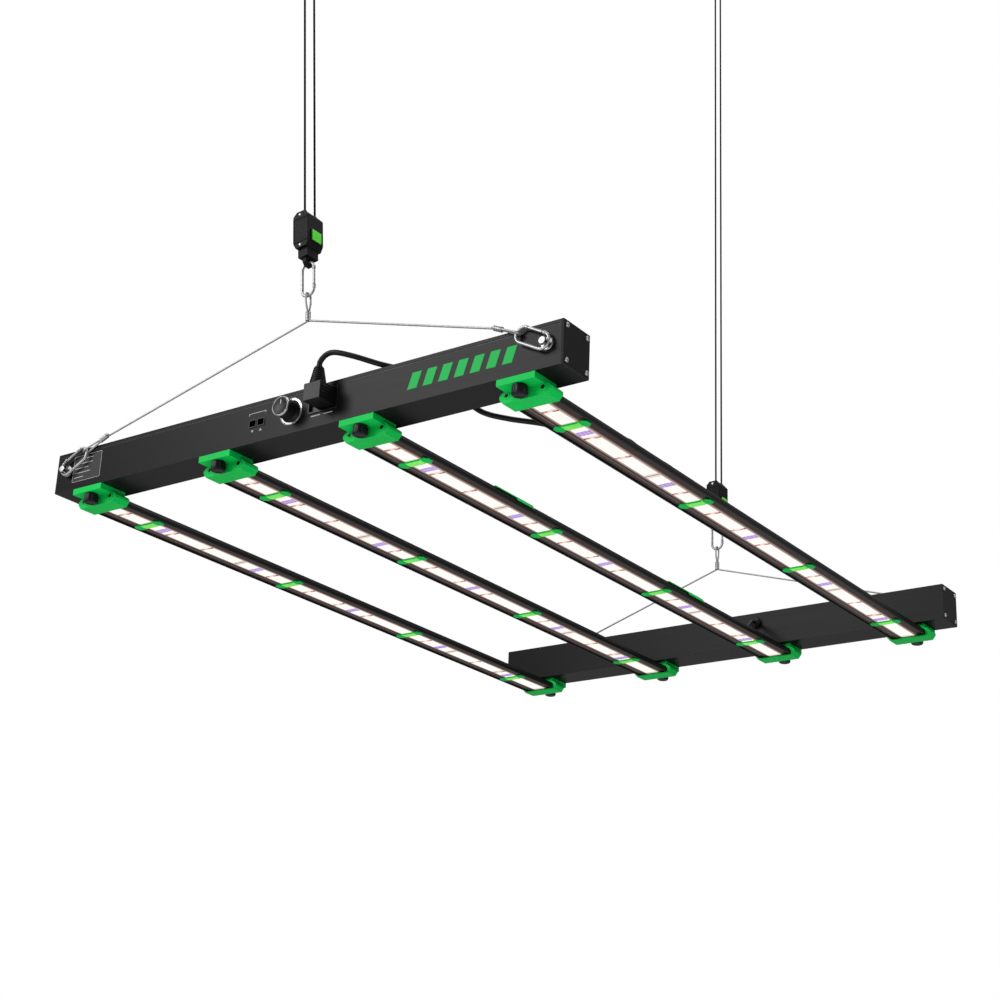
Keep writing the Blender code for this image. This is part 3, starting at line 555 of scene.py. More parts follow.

# Moulded and coated finishes: the dark, light and edge colours, then roughness, the grain's size
# and depth, and the specular level. The edge colour is partly wear and partly a painted highlight.
FINISHES = {
    "cap_paint": (
        ((0.0070, 0.0070, 0.0073), (0.0100, 0.0100, 0.0104), EDGE_WEAR_AND_HIGHLIGHT), (0.5, 1500.0, 0.00002, 0.05)
    ),
    "green_nylon": (
        ((0.0010, 0.345, 0.050), (0.002, 0.450, 0.074), (0.006, 0.60, 0.12)),
        (0.55, 1100.0, 0.00002, 0.08),
    ),
    "knob_black": (
        ((0.0025, 0.0025, 0.003), (0.005, 0.005, 0.0055), (0.012, 0.012, 0.012)),
        (0.42, 1500.0, 0.00003, 0.14),
    ),
    "socket_black": (
        ((0.0025, 0.0025, 0.0025), (0.005, 0.005, 0.0055), (0.03, 0.03, 0.03)),
        (0.42, 1300.0, 0.00002, 0.16),
    ),
    "cord_pvc": (
        ((0.002, 0.002, 0.002), (0.004, 0.004, 0.004), (0.009, 0.009, 0.009)),
        (0.45, 1800.0, 0.00002, 0.14),
    ),
    "ratchet_nylon": (
        ((0.002, 0.002, 0.002), (0.005, 0.005, 0.005), (0.012, 0.012, 0.012)),
        (0.55, 700.0, 0.00008, 0.08),
    ),
    "button_green": (
        ((0.060, 0.520, 0.020), (0.10, 0.66, 0.035), (0.16, 0.75, 0.08)),
        (0.4, 1200.0, 0.00002, 0.25),
    ),
    "rope_braid": (
        ((0.0015, 0.0015, 0.0015), (0.004, 0.004, 0.004), (0.006, 0.006, 0.006)),
        (0.9, 1500.0, 0.00005, 0.05),
    ),
    "print_green": (
        ((0.004, 0.300, 0.050), (0.008, 0.360, 0.070), (0.01, 0.4, 0.08)),
        (0.55, 1200.0, 0.00001, 0.1),
    ),
    "print_white": (
        ((0.28, 0.28, 0.28), (0.40, 0.40, 0.40), (0.45, 0.45, 0.45)),
        (0.5, 1200.0, 0.00001, 0.1),
    ),
    "label_foil": (
        ((0.012, 0.012, 0.0125), (0.018, 0.018, 0.0185), (0.05, 0.05, 0.05)),
        (0.45, 900.0, 0.00001, 0.15),
    ),
    "board_seam": (
        ((0.10, 0.055, 0.040), (0.20, 0.12, 0.09), (0.2, 0.15, 0.1)), (0.5, 900.0, 0.00002, 0.5)
    ),
}
FINISHED = [
    finish_material(name, *colours, *feel[:3], specular=feel[3])
    for name, (colours, feel) in FINISHES.items()
]
CAP, GREEN, KNOB, SOCKET, RUBBER, BLOCK, BUTTON, ROPE = FINISHED[:8]
PRINT_GREEN, PRINT_WHITE, LABEL, SEAM = FINISHED[8:]

ZINC = metal_material("zinc_plate", (0.22, 0.22, 0.225), (0.36, 0.36, 0.37), 0.46, 600.0)
SILVER = metal_material("machined_rim", (0.24, 0.24, 0.245), (0.46, 0.46, 0.47), 0.30, 900.0)
STRAND = metal_material("cable_strand", (0.26, 0.26, 0.265), (0.40, 0.40, 0.405), 0.6, 1500.0)
SCREW = metal_material("screw_head", (0.22, 0.22, 0.225), (0.42, 0.42, 0.43), 0.38, 800.0)
CASING = metal_material("driver_case", (0.40, 0.41, 0.42), (0.55, 0.56, 0.57), 0.4, 500.0)

# Colours across a bar, each at its distance from the bar's middle
MARGIN_BANDS = (
    (-0.0150, (0.10, 0.072, 0.068)),
    (-0.0110, (0.50, 0.36, 0.33)),
    (0.0110, (0.50, 0.36, 0.33)),
    (0.0150, (0.12, 0.070, 0.055)),
)
# The wing colours are painted LED light: a warm glow by the board that fades to black at the edge, and
# the two sides differ by a painted reflection
WING_KNEE = 0.0215
WING_EDGE = 0.0268
WING_PAINTED_LIGHT_BANDS = (
    (-WING_EDGE, (0.003, 0.002, 0.002)),
    (-WING_KNEE, (0.030, 0.018, 0.016)),
    (-0.0172, (0.120, 0.070, 0.058)),
    (-0.0152, (0.016, 0.009, 0.008)),
    (0.0152, (0.200, 0.100, 0.070)),
    (0.0162, (0.030, 0.012, 0.007)),
    (WING_KNEE, (0.016, 0.007, 0.005)),
    (WING_EDGE, (0.003, 0.002, 0.002)),
)
BOARD = section_material("board_margins", MARGIN_BANDS, 0.5, 0.1)
WING_PAINTED_LIGHT = section_material("cover_wings_painted_led_light", WING_PAINTED_LIGHT_BANDS, 0.35, 0.15)

# Lit surfaces: the dim and bright glow, its strength, and the colour under it
LED_STRIP = glowing_material(
    "led_strip_glow", (1.0, 0.80, 0.72), (1.0, 0.88, 0.82), 0.74, (0.05, 0.045, 0.04)
)
LED_WHITE = glowing_material(
    "led_white", (1.0, 0.93, 0.88), (1.0, 0.98, 0.95), 1.0, (0.06, 0.055, 0.05)
)
LED_PURPLE = glowing_material(
    "led_purple", (0.30, 0.16, 0.66), (0.46, 0.30, 0.84), 0.9, (0.04, 0.03, 0.06)
)
LED_RED = glowing_material(
    "led_red", (0.62, 0.16, 0.11), (0.80, 0.30, 0.22), 0.8, (0.05, 0.02, 0.02)
)
# Painted glow: the green clip band is no lamp; the light it takes from the LEDs is painted on as
# emission
CLIP_PAINTED_GLOW = glowing_material(
    "clip_painted_glow", (0.10, 0.62, 0.045), (0.24, 0.95, 0.11), 0.80, (0.01, 0.12, 0.01)
)

PAINTS = {
    "rail_black": RAIL,
    "cap_black": CAP,
    "bar_black": BAR,
    "led_board": BOARD,
    "green_plastic": GREEN,
    "knob_black": KNOB,
    "socket_black": SOCKET,
    "cord_rubber": RUBBER,
    "driver_casing": CASING,
    "zinc_steel": ZINC,
    "steel_cable": STRAND,
    "ratchet_black": BLOCK,
    "rope_black": ROPE,
}


def paint_frame():
    """Gives every node of the frame the finish of its material slot."""
    for row in frame["record"]["subparts"]:
        mesh = frame["nodes"][row["node"]].data
        mesh.materials.clear()
        named = row["node"].startswith("ratchet_button")
        mesh.materials.append(BUTTON if named else PAINTS[row["material_slot"]])
        mesh.polygons.foreach_set("material_index", [0] * len(mesh.polygons))


# Cords and ropes ----------------------------------------------------------------------------

CORD_RADIUS = 0.0035
LEAD_RADIUS = 0.0030
ROPE_RADIUS = 0.0015
ON_BAR = BAR_TOP + 0.0004
CORD_Z = BAR_TOP + CORD_RADIUS + 0.0005
LEAD_Z = BAR_TOP + LEAD_RADIUS + 0.0006
PLUG_X = 0.0685
PLUG_DEPTH = -0.0190
PLUG_Z = 0.0335
LEAD_X = 0.1183
GLANDS = ((NEAR, LEAD_X, 0.0300), (FAR, 0.0908, 0.0380))
CORD_ROUTE = (
    at(PLUG_X, PLUG_DEPTH, 0.0704),
    at(0.0688, PLUG_DEPTH, 0.0760),
    at(0.0780, -0.0205, 0.0830),
    at(0.0930, -0.0200, 0.0840),
    at(0.1180, -0.0120, 0.0760),
    at(0.1480, 0.0060, 0.0650),
    at(0.1700, 0.0270, 0.0614),
    at(0.1890, 0.0470, 0.0618),
    at(0.2010, 0.0600, 0.0606),
    at(0.2120, 0.0680, 0.0480),
    at(0.2250, 0.0770, 0.0290),
    at(0.2450, 0.0880, 0.0110),
    at(0.2740, 0.1040, 0.0020),
    at(0.3050, 0.1330, -0.0005),
    at(0.3260, 0.1650, -0.0040),
    at(0.3286, 0.1900, CORD_Z),
    at(0.3286, 0.2200, CORD_Z),
)
LEAD_ROUTE = (
    at(LEAD_X, 0.040, 0.0300),
    at(0.1178, 0.056, 0.0292),
    at(0.1155, 0.067, 0.0235),
    at(0.1125, 0.074, 0.0130),
    at(0.1105, 0.082, 0.0020),
    at(0.1110, 0.096, LEAD_Z + 0.0012),
    at(0.1150, 0.130, LEAD_Z + 0.0004),
    at(LEAD_X, 0.170, LEAD_Z),
    at(LEAD_X, 0.272, LEAD_Z),
    at(LEAD_X, 0.572, LEAD_Z),
    at(LEAD_X, 0.272, LEAD_Z, FAR),
    at(LEAD_X, 0.210, LEAD_Z, FAR),
    at(0.1180, 0.180, LEAD_Z + 0.0008, FAR),
    at(0.1150, 0.140, 0.0040, FAR),
    at(0.1010, 0.095, 0.0290, FAR),
    at(0.0915, 0.068, 0.0375, FAR),
    at(0.0908, 0.040, 0.0380, FAR),
)

# The hank: (x of a run, its layer), in the order in which the cord takes them
HANK_RUNS = ((0.3286, 0), (0.3706, 0), (0.3356, 0), (0.3630, 0), (0.3300, 1))
HANK_START = 0.2140
HANK_LENGTH = 0.2070
HANK_HALF = 0.0246
TURN_POINTS = 14


def hank_line():
    """The folded stretch: straight runs along the bar, joined by round folds at either end."""
    near_end = -HALF_SPAN + HANK_START + HANK_HALF
    far_end = -HALF_SPAN + HANK_START + HANK_LENGTH - HANK_HALF
    layer = 2 * CORD_RADIUS + 0.0002
    points = []
    for index, (x, level) in enumerate(HANK_RUNS):
        z = CORD_Z + level * layer
        outward = index % 2 == 0
        ends = (near_end, far_end) if outward else (far_end, near_end)
        last = index == len(HANK_RUNS) - 1
        next_x, next_level = (x, level) if last else HANK_RUNS[index + 1]
        for i in range(1, 9):
            share = i / 8
            climb = max(0.0, share - 0.4) / 0.6 * (next_level - level) * layer
            points.append((x, ends[0] + (ends[1] - ends[0]) * share, z + climb))
        if last:
            break
        radius = abs(next_x - x) / 2
        middle = (x + next_x) / 2
        height = CORD_Z + next_level * layer
        for i in range(1, TURN_POINTS):
            angle = math.pi * i / TURN_POINTS
            across = math.cos(angle) * (x - middle)
            along = math.sin(angle) * radius * (1 if outward else -1)
            points.append((middle + across, ends[1] + along, height))
    return [Vector((x, y, UNDER + z)) for x, y, z in points]


PLUG_MIDDLE = 0.3406
SLEEVE_LENGTH = 0.0200
GRIP_LENGTH = 0.0340
GRIP_RADIUS = 0.0115
GRIP_FLAT = 0.62


def make_wall_plug():
    """The mains plug on the bar: a waisted grip, a ribbed sleeve, two flat pins and a round one."""
    start = -HALF_SPAN + HANK_START + HANK_LENGTH + 0.0003 + SLEEVE_LENGTH
    middle = PLUG_MIDDLE - 0.0030
    place = shift_by(middle, start, UNDER + ON_BAR + GRIP_RADIUS * GRIP_FLAT)
    lay = place @ turn_by(-90, "X")
    squeeze = place @ Matrix.Diagonal((1, 1, GRIP_FLAT, 1)) @ turn_by(-90, "X")
    grip = [(0.0, 0.0086), (0.0012, 0.0100), (0.0080, 0.0098), (0.0150, 0.0092), (0.0220, 0.0100)]
    grip += [(0.0280, 0.0114), (0.0328, 0.0114), (GRIP_LENGTH, 0.0106)]
    shapes = [turned(grip, 40)]
    ribs = []
    for i in range(7):
        z = -SLEEVE_LENGTH + i * 0.0028
        r = 0.0044 + i * 0.00035
        ribs += [(z, r), (z + 0.0016, r), (z + 0.0018, r - 0.0007), (z + 0.0026, r - 0.0007)]
    ribs.append((0.0008, 0.0070))
    shapes.append(turned(ribs, 28))
    body = moved(together(shapes), squeeze)
    plug = piece("wall_plug_body", body, RUBBER, "frame", bevel=0.0003)
    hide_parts("wall_plug")
    pins = []
    end = GRIP_LENGTH
    for dx in (-0.00635, 0.00635):
        blade = rounded_box(dx - 0.00075, dx + 0.00075, -0.0031, 0.0031, 0.0004)
        pins.append(prism(blade, "Z", end - 0.001, end + 0.0160))
    earth = turned([(end - 0.001, 0.0024), (end + 0.0165, 0.0024), (end + 0.0180, 0.0014)], 20)
    pins.append(moved(earth, shift_by(0, 0.0045, 0)))
    blades = piece(
        "wall_plug_pins", moved(together(pins), lay), SILVER, "frame", bevel=0.0002
    )
    return [plug, blades], place @ Vector((0, -SLEEVE_LENGTH, 0))


def make_power_cord():
    """The power cord from its connector to its mains plug, with the spare length in a hank."""
    plug, sleeve_tip = make_wall_plug()
    line = smooth_line(CORD_ROUTE, 0.006) + hank_line()
    leave = line[-1]
    middle = leave.lerp(sleeve_tip, 0.5)
    line += smooth_line((leave, middle + Vector((-0.0015, 0, 0)), sleeve_tip), 0.004)[1:]
    line = resampled(line, 0.004)
    cord = piece(
        "cord_to_wall", tube(line, CORD_RADIUS, 16), RUBBER, None, sharp=60
    )
    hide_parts("power_cord", "cord_hank")
    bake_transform(cord)
    make_hank_tie()


def make_hank_tie():
    """The hook-and-loop strap round the middle of the hank."""
    middle = -HALF_SPAN + HANK_START + HANK_LENGTH / 2
    half, thick = 0.008, 0.0006
    low = ON_BAR - 0.0002
    top = CORD_Z + CORD_RADIUS + 0.0005
    high = top + 2 * CORD_RADIUS
    left, right, corner = 0.3240, 0.3746, 0.0030
    outer = [(left, low), (right, low), (right, top - corner), (right - corner, top)]
    outer += [(0.3345, high), (left + 0.0020, high), (left, top)]
    inner = [(left + thick, low + thick), (right - thick, low + thick)]
    inner += [(right - thick, top - corner), (right - corner, top - thick)]
    inner += [(0.3343, high - thick), (left + 0.0022, high - thick), (left + thick, top - thick)]
    columns = []
    for (a, b), (c, d) in zip(outer, inner):
        sides = ((a, -half, b), (a, half, b), (c, half, d), (c, -half, d))
        columns.append([(x, middle + y, UNDER + z) for x, y, z in sides])
    piece("hank_tie", hoop(columns), ROPE, "frame", sharp=30)


def make_link_lead():
    """The lead that joins the driver's rail to the far one, held along the third bar by the clips."""
    line = smooth_line(LEAD_ROUTE, 0.006)
    lead = piece(
        "link_lead_sheath", tube(line, LEAD_RADIUS, 14), RUBBER, "frame", sharp=60
    )
    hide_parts("link_lead")
    for side, x, z in GLANDS:
        nut = polygon_ring(6, 0.0088)
        shapes = [prism(nut, "Z", 0.0003, 0.0052)]
        shapes.append(
            turned([(0.0050, 0.0074), (0.0082, 0.0070), (0.0100, 0.0052), (0.0104, 0.0034)], 28)
        )
        place = facing(at(x, RAIL_DEPTH, z, side), -side)
        piece(
            f"gland_{SIDES[side]}",
            moved(together(shapes), place),
            SOCKET,
            "frame",
            bevel=0.0004,
        )
        ring = washer([(0.0002, 0.0090), (0.0010, 0.0090), (0.0010, 0.0112), (0.0002, 0.0112)], 28)
        piece(f"gland_ring_{SIDES[side]}", moved(ring, place), CAP, "frame")


def polygon_ring(sides, radius):
    return [polar(radius, angle) for angle in angles(sides)]


# Light boards and their cover clips ---------------------------------------------------------

LED_ROW_PITCH = 0.0061
LED_COLUMNS = (-0.0079, -0.0026, 0.0026, 0.0079)
LED_WIDE = 0.0021
LED_LONG = 0.0025
LIT_HALF = 0.0106
BOARD_CLEAR = 0.524
CLIP_FIRST = -0.4520
CLIP_PITCH = 0.2977
CLIP_HALF = 0.0056
MARK_FIRST = 0.0450
MARK_PITCH = 0.0706
PURPLE_ROWS = (-0.4215, -0.2305, 0.0, 0.2275, 0.4215)


def clip_places():
    return [CLIP_FIRST + CLIP_PITCH * i for i in range(4)]


def mark_places():
    """Where the red pairs sit, and where two lengths of board meet."""
    red, seams = [CLIP_FIRST - 0.047], []
    for index, clip in enumerate(clip_places()):
        for step in range(4):
            y = clip + MARK_FIRST + MARK_PITCH * step
            if y > 0.44 or (index == 1 and step == 3):
                continue
            if (index, step) in ((0, 2), (2, 1)):
                seams.append(y)
            else:
                red.append(y)
    return red, seams


def led_block(x, y, wide, long, low, high):
    """A light-emitting package: a low block with a bevelled lens face."""
    base = rectangle(x - wide, x + wide, y - long, y + long)
    face = rectangle(x - wide * 0.82, x + wide * 0.82, y - long * 0.84, y + long * 0.84)
    rings = []
    for outline, z in ((base, high), (base, low + 0.0002), (face, low)):
        rings.append([(a, b, UNDER + z) for a, b in outline])
    return lofted(rings)


def near_any(y, places, room):
    return any(abs(y - place) < room for place in places)


def make_boards():
    red, seams = mark_places()
    count = int(BOARD_CLEAR / LED_ROW_PITCH)
    rows = [LED_ROW_PITCH * i for i in range(-count, count + 1)]
    purple = [
        y for y in rows if any(
            -LED_ROW_PITCH <= y - place < LED_ROW_PITCH for place in PURPLE_ROWS
        )
    ]
    face = BOARD_BOTTOM - 0.0007
    back = BOARD_BOTTOM
    for number, x in enumerate(BAR_X, 1):
        strip = rounded_box(
            x - LIT_HALF, x + LIT_HALF, -BOARD_CLEAR - 0.004, BOARD_CLEAR + 0.004, 0.001
        )
        lit = prism(strip, "Z", UNDER + back - 0.00025, UNDER + back - 0.00002)
        piece(f"lit_strip_{number}", lit, LED_STRIP, "frame")
        white, violet, warm, joints = [], [], [], []
        for y in rows:
            if near_any(y, clip_places(), 0.0075) or near_any(
                y, red + seams, LED_ROW_PITCH * 0.62
            ):
                continue
            target = violet if y in purple else white
            for dx in LED_COLUMNS:
                target.append(led_block(x + dx, y, LED_WIDE, LED_LONG, face, back))
        for y in red:
            for dx, shift in ((-0.0062, -0.0014), (0.0056, 0.0014)):
                warm.append(led_block(x + dx, y + shift, 0.0030, 0.0018, face, back))
                outer = math.copysign(0.0040, dx)
                joints.append(led_block(x + dx + outer, y + shift, 0.0010, 0.0018, face, back))
        for y in seams:
            joints.append(led_block(x, y, LIT_HALF, 0.0010, back - 0.0004, back))
        for name, shapes, paint in (
            ("led_whites", white, LED_WHITE),
            ("led_purples", violet, LED_PURPLE),
            ("led_reds", warm, LED_RED),
            ("board_joints", joints, SEAM),
        ):
            piece(f"{name}_{number}", together(shapes), paint, "frame")
        make_wings(number, x)


def make_wings(number, x):
    """The edges of the clear cover on either side of the board, coloured with painted LED light and a
    painted reflection.
    """
    end = BOARD_CLEAR + 0.002
    shapes = []
    for side in (-1, 1):
        section = [
            (side * (BOARD_HALF + 0.0001), BOARD_BOTTOM - 0.0003),
            (side * (BOARD_HALF + 0.0006), BOARD_BOTTOM - 0.0008),
            (side * WING_KNEE, BOARD_BOTTOM + 0.0002),
            (side * WING_EDGE, BOARD_BOTTOM - 0.0002),
            (side * WING_EDGE, BOARD_BOTTOM + 0.0005),
            (side * (BOARD_HALF + 0.0001), BOARD_BOTTOM + 0.0005),
        ]
        shapes.append(prism([(x + a, UNDER + z) for a, z in section], "Y", -end, end))
    piece(f"cover_wings_painted_led_light_{number}", together(shapes), WING_PAINTED_LIGHT, "frame", sharp=25)


def make_cover_clips():
    """The clips that hold each cover: a band over the board that glows with painted green light from
    the LEDs, and a pointed foot on each wing.
    """
    for number, x in enumerate(BAR_X, 1):
        for index, y in enumerate(clip_places(), 1):
            band = clip_band(x, y)
            # The band glows with painted LED light
            piece(
                f"cover_clip_{number}_{index}",
                band,
                CLIP_PAINTED_GLOW,
                "frame",
                bevel=0.0003,
            )
            shapes = [clip_foot(x, y, side) for side in (-1, 1)]
            shapes += [clip_lip(x, y, side) for side in (-1, 1)]
            feet = together(shapes)
            piece(
                f"clip_feet_{number}_{index}", feet, GREEN, "frame", bevel=0.0003
            )


def clip_band(x, y):
    low = BOARD_BOTTOM - 0.0030
    half = 0.0132
    section = [(x - half, BOARD_BOTTOM - 0.0004)]
    section += [(x - half + 0.0016, low + 0.0004), (x - half + 0.0034, low)]
    section += [(x + half - 0.0034, low), (x + half - 0.0016, low + 0.0004)]
    section += [(x + half, BOARD_BOTTOM - 0.0004)]
    section += [(x + half - 0.0012, BOARD_BOTTOM - 0.0004), (x + half - 0.0040, low + 0.0013)]
    section += [(x - half + 0.0040, low + 0.0013), (x - half + 0.0012, BOARD_BOTTOM - 0.0004)]
    return prism([(a, UNDER + z) for a, z in section], "Y", y - CLIP_HALF, y + CLIP_HALF)


def clip_lip(x, y, side):
    """A dark edge along either side of the band."""
    start, end = sorted((y + side * CLIP_HALF, y + side * (CLIP_HALF + 0.0013)))
    low, high = UNDER + BOARD_BOTTOM - 0.0026, UNDER + BOARD_BOTTOM - 0.0004
    return prism(
        [(x - 0.0128, high), (x - 0.0104, low), (x + 0.0104, low), (x + 0.0128, high)],
        "Y",
        start,
        end,
    )


def clip_foot(x, y, side):
    """A foot is widest at the board and comes to a blunt point over the bar's rim."""
    low = BOARD_BOTTOM - 0.0024
    high = BOARD_BOTTOM - 0.0007
    inner, knee, tip = 0.0128, 0.0190, 0.0246
    plan = [
        (inner, -0.0058),
        (knee, -0.0092),
        (tip, -0.0040),
        (tip, 0.0040),
        (knee, 0.0092),
        (inner, 0.0058),
    ]
    outline = [(x + side * a, y + b) for a, b in plan]
    return prism(outline, "Z", UNDER + low, UNDER + high)


# Brackets, thumbscrews and rails ------------------------------------------------------------

THUMB_DEPTH = 0.0096
THUMB_RADIUS = 0.0097
THUMB_TOP = -0.0088
THUMB_BOTTOM = -0.0225
SCREW_ACROSS = 0.0254
SCREW_HEIGHT = -0.0125
SHROUD_START = 0.0197
BOLT_X, BOLT_Z = 0.3983, 0.0294
BOSS = (
    (-0.0002, 0.0028), (0.0008, 0.0029), (0.0011, 0.0034), (0.0008, 0.0044), (-0.0002, 0.0049)
)
BOSS_SCREW = (
    (-0.0004, 0.0006), (0.0003, 0.0010), (0.0005, 0.0022), (0.0006, 0.0029), (-0.0004, 0.0029)
)


def lobes(angle, z):
    """Eight soft flutes round a thumbscrew's grip."""
    depth = 0.085 if THUMB_BOTTOM + 0.0012 < z < THUMB_TOP - 0.0022 else 0.0
    return 1 - depth * (0.5 + 0.5 * math.cos(8 * angle)) ** 2


def make_bracket_details():
    for side, name in SIDES.items():
        for number, x in enumerate(BAR_X, 1):
            profile = [
                (THUMB_BOTTOM + 0.0004, 0.0048),
                (THUMB_BOTTOM, 0.0054),
                (THUMB_BOTTOM, 0.0074),
                (THUMB_BOTTOM + 0.0005, 0.0086),
                (THUMB_BOTTOM + 0.0013, 0.0094),
                (THUMB_BOTTOM + 0.0022, THUMB_RADIUS),
                (THUMB_BOTTOM + 0.0070, THUMB_RADIUS),
                (THUMB_TOP - 0.0024, THUMB_RADIUS * 0.98),
                (THUMB_TOP - 0.0008, 0.0086),
                (THUMB_TOP, 0.0068),
                (THUMB_TOP, 0.0025),
                (0.0075, 0.0025),
            ]
            place = Matrix.Translation(at(x, THUMB_DEPTH, 0, side))
            grip = moved(turned(profile, 96, lobes), place)
            body = f"thumbscrew_{name}_{number}"
            made = piece(f"thumb_grip_{name}_{number}", grip, KNOB, body, sharp=35)
            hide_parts(body)
            bosses, screws = [], []
            for dx in (-SCREW_ACROSS, SCREW_ACROSS):
                front = facing(at(x + dx, SHROUD_START, SCREW_HEIGHT, side), side)
                bosses.append(moved(washer(BOSS, 24), front))
                screws.append(moved(washer(BOSS_SCREW, 20), front))
            where = f"{name}_{number}"
            bosses, screws = together(bosses), together(screws)
            piece(f"bracket_bosses_{where}", bosses, GREEN, "frame")
            piece(f"bracket_screws_{where}", screws, SOCKET, "frame")


def drive_recess(radius, rim):
    """A pan head with a cross cut into it, turned about Z."""

    def cross(angle, z):
        if z < rim:
            return 1
        return 1 - 0.30 * max(0.0, math.cos(4 * angle)) ** 6

    profile = [
        (-0.0002, radius), (rim * 0.6, radius), (rim, radius * 0.86), (rim * 1.12, radius * 0.62)
    ]
    profile += [
        (rim * 1.06, radius * 0.50), (rim * 0.55, radius * 0.34), (rim * 0.5, radius * 0.05)
    ]
    return turned(profile, 48, cross)


def make_rail_details():
    """Cap screws, bolts with their washers, and the long groove."""
    inset = 0.0065
    for side, side_name in SIDES.items():
        for end, end_name in ENDS.items():
            screws = []
            for dy in (inset, RAIL_DEPTH - inset):
                for z in (inset, RAIL_HEIGHT - inset):
                    outwards = turn_by(90 * end, "Y")
                    reach = HALF_RAIL + (0.0003 if side == NEAR else 0.0001)
                    place = Matrix.Translation(at(end * reach, dy, z, side)) @ outwards
                    screws.append(moved(drive_recess(0.0033, 0.0016), place))
            where = f"{side_name}_{end_name}"
            piece(f"end_screws_{where}", together(screws), SCREW, "frame")
            make_bolt(side, end, where)
    rib = prism(
        rectangle(-0.4170, 0.4170, UNDER + 0.0510, UNDER + 0.0524),
        "Y",
        -HALF_SPAN + 0.0003,
        -HALF_SPAN + 0.0008,
    )
    piece("groove_floor", rib, SOCKET, "frame")
    lip = prism(
        rectangle(-0.4172, 0.4172, UNDER + 0.0526, UNDER + 0.0530),
        "Y",
        -HALF_SPAN - 0.00025,
        -HALF_SPAN + 0.0001,
    )
    piece("groove_lip", lip, CAP, "frame")


def make_bolt(side, end, where):
    place = facing(at(end * BOLT_X, 0, BOLT_Z, side), side)
    hexagon = prism(polygon_ring(6, 0.0056), "Z", 0.0086, 0.0117)
    crown = turned([(0.0116, 0.0050), (0.0121, 0.0044), (0.0122, 0.0020)], 36)
    flat = washer(
        [(0.0002, 0.0032), (0.0016, 0.0032), (0.0018, 0.0078), (0.0012, 0.0084), (0.0002, 0.0084)],
        40,
    )
    neck = turned([(0.0010, 0.0031), (0.0087, 0.0031)], 24)
    whole = moved(together([hexagon, crown, flat, neck]), place)
    piece(f"hanger_bolt_{where}", whole, ZINC, "frame", bevel=0.0002)


def on_face(outline, out=0.00025):
    """A flat printed or raised shape on the near rail's outer face, from its X and z points."""
    points = [(x, UNDER + z) for x, z in outline]
    return prism(points, "Y", -HALF_SPAN - out, -HALF_SPAN + 0.0001)


def make_prints():
    """Plain marks in place of any lettering: slanted bars, arrows at the sockets and a ruled label."""
    bars = []
    low, high, lean = 0.0175, 0.0385, 0.0070
    start, step, wide = 0.1960, 0.0232, 0.0140
    for index in range(7):
        x = start + step * index
        bars.append(
            on_face([(x, low), (x + wide, low), (x + wide + lean, high), (x + lean, high)])
        )
    piece("slanted_bars", together(bars), PRINT_GREEN, "frame")
    marks = []
    for x, up in ((-0.0545, -1), (-0.0405, 1)):
        z = 0.0165
        marks.append(
            on_face(
                [
                    (x - 0.0024, z - up * 0.0014),
                    (x + 0.0024, z - up * 0.0014),
                    (x, z + up * 0.0018),
                ]
            )
        )
    marks.append(on_face(rectangle(-0.0620, -0.0330, 0.0410, 0.0418)))
    for x in (-0.0620, -0.0338):
        marks.append(on_face(rectangle(x, x + 0.0008, 0.0385, 0.0412)))
    for start in (0.0440, 0.0640):
        marks.append(on_face(rectangle(start, start + 0.0150, 0.0148, 0.0160)))
    left, right, bottom, top = -0.3870, -0.3330, 0.0100, 0.0480
    plate = on_face(rounded_box(left, right, bottom, top, 0.002), 0.0002)
    piece("label_plate", plate, LABEL, "frame")
    for number, (inset, share) in enumerate(
        ((0.30, 0.5), (0.06, 0.78), (0.06, 0.6), (0.06, 0.7), (0.06, 0.42))
    ):
        z = top - 0.0060 - 0.0066 * number
        wide = right - left
        x = left + wide * inset
        marks.append(on_face(rectangle(x, x + wide * share * 0.8, z, z + 0.0010), 0.0004))
    rim = 0.0005
    for a, b, c, d in (
        (left, right, bottom, bottom + rim),
        (left, right, top - rim, top),
        (left, left + rim, bottom, top),
        (right - rim, right, bottom, top),
    ):
        marks.append(on_face(rectangle(a, b, c, d), 0.0004))
    piece("printed_marks", together(marks), PRINT_WHITE, "frame")


# Controls -----------------------------------------------------------------------------------

DIMMER_X = 0.0100
DIMMER_Z = 0.0300
KNOB_RADIUS = 0.0135
KNOB_REACH = 0.0215


def knurl(angle, z):
    """Fine ribs round the knob's side."""
    inside = 0.0042 < z < KNOB_REACH - 0.0022
    return 1 - (0.018 * (0.5 + 0.5 * math.cos(40 * angle)) if inside else 0.0)


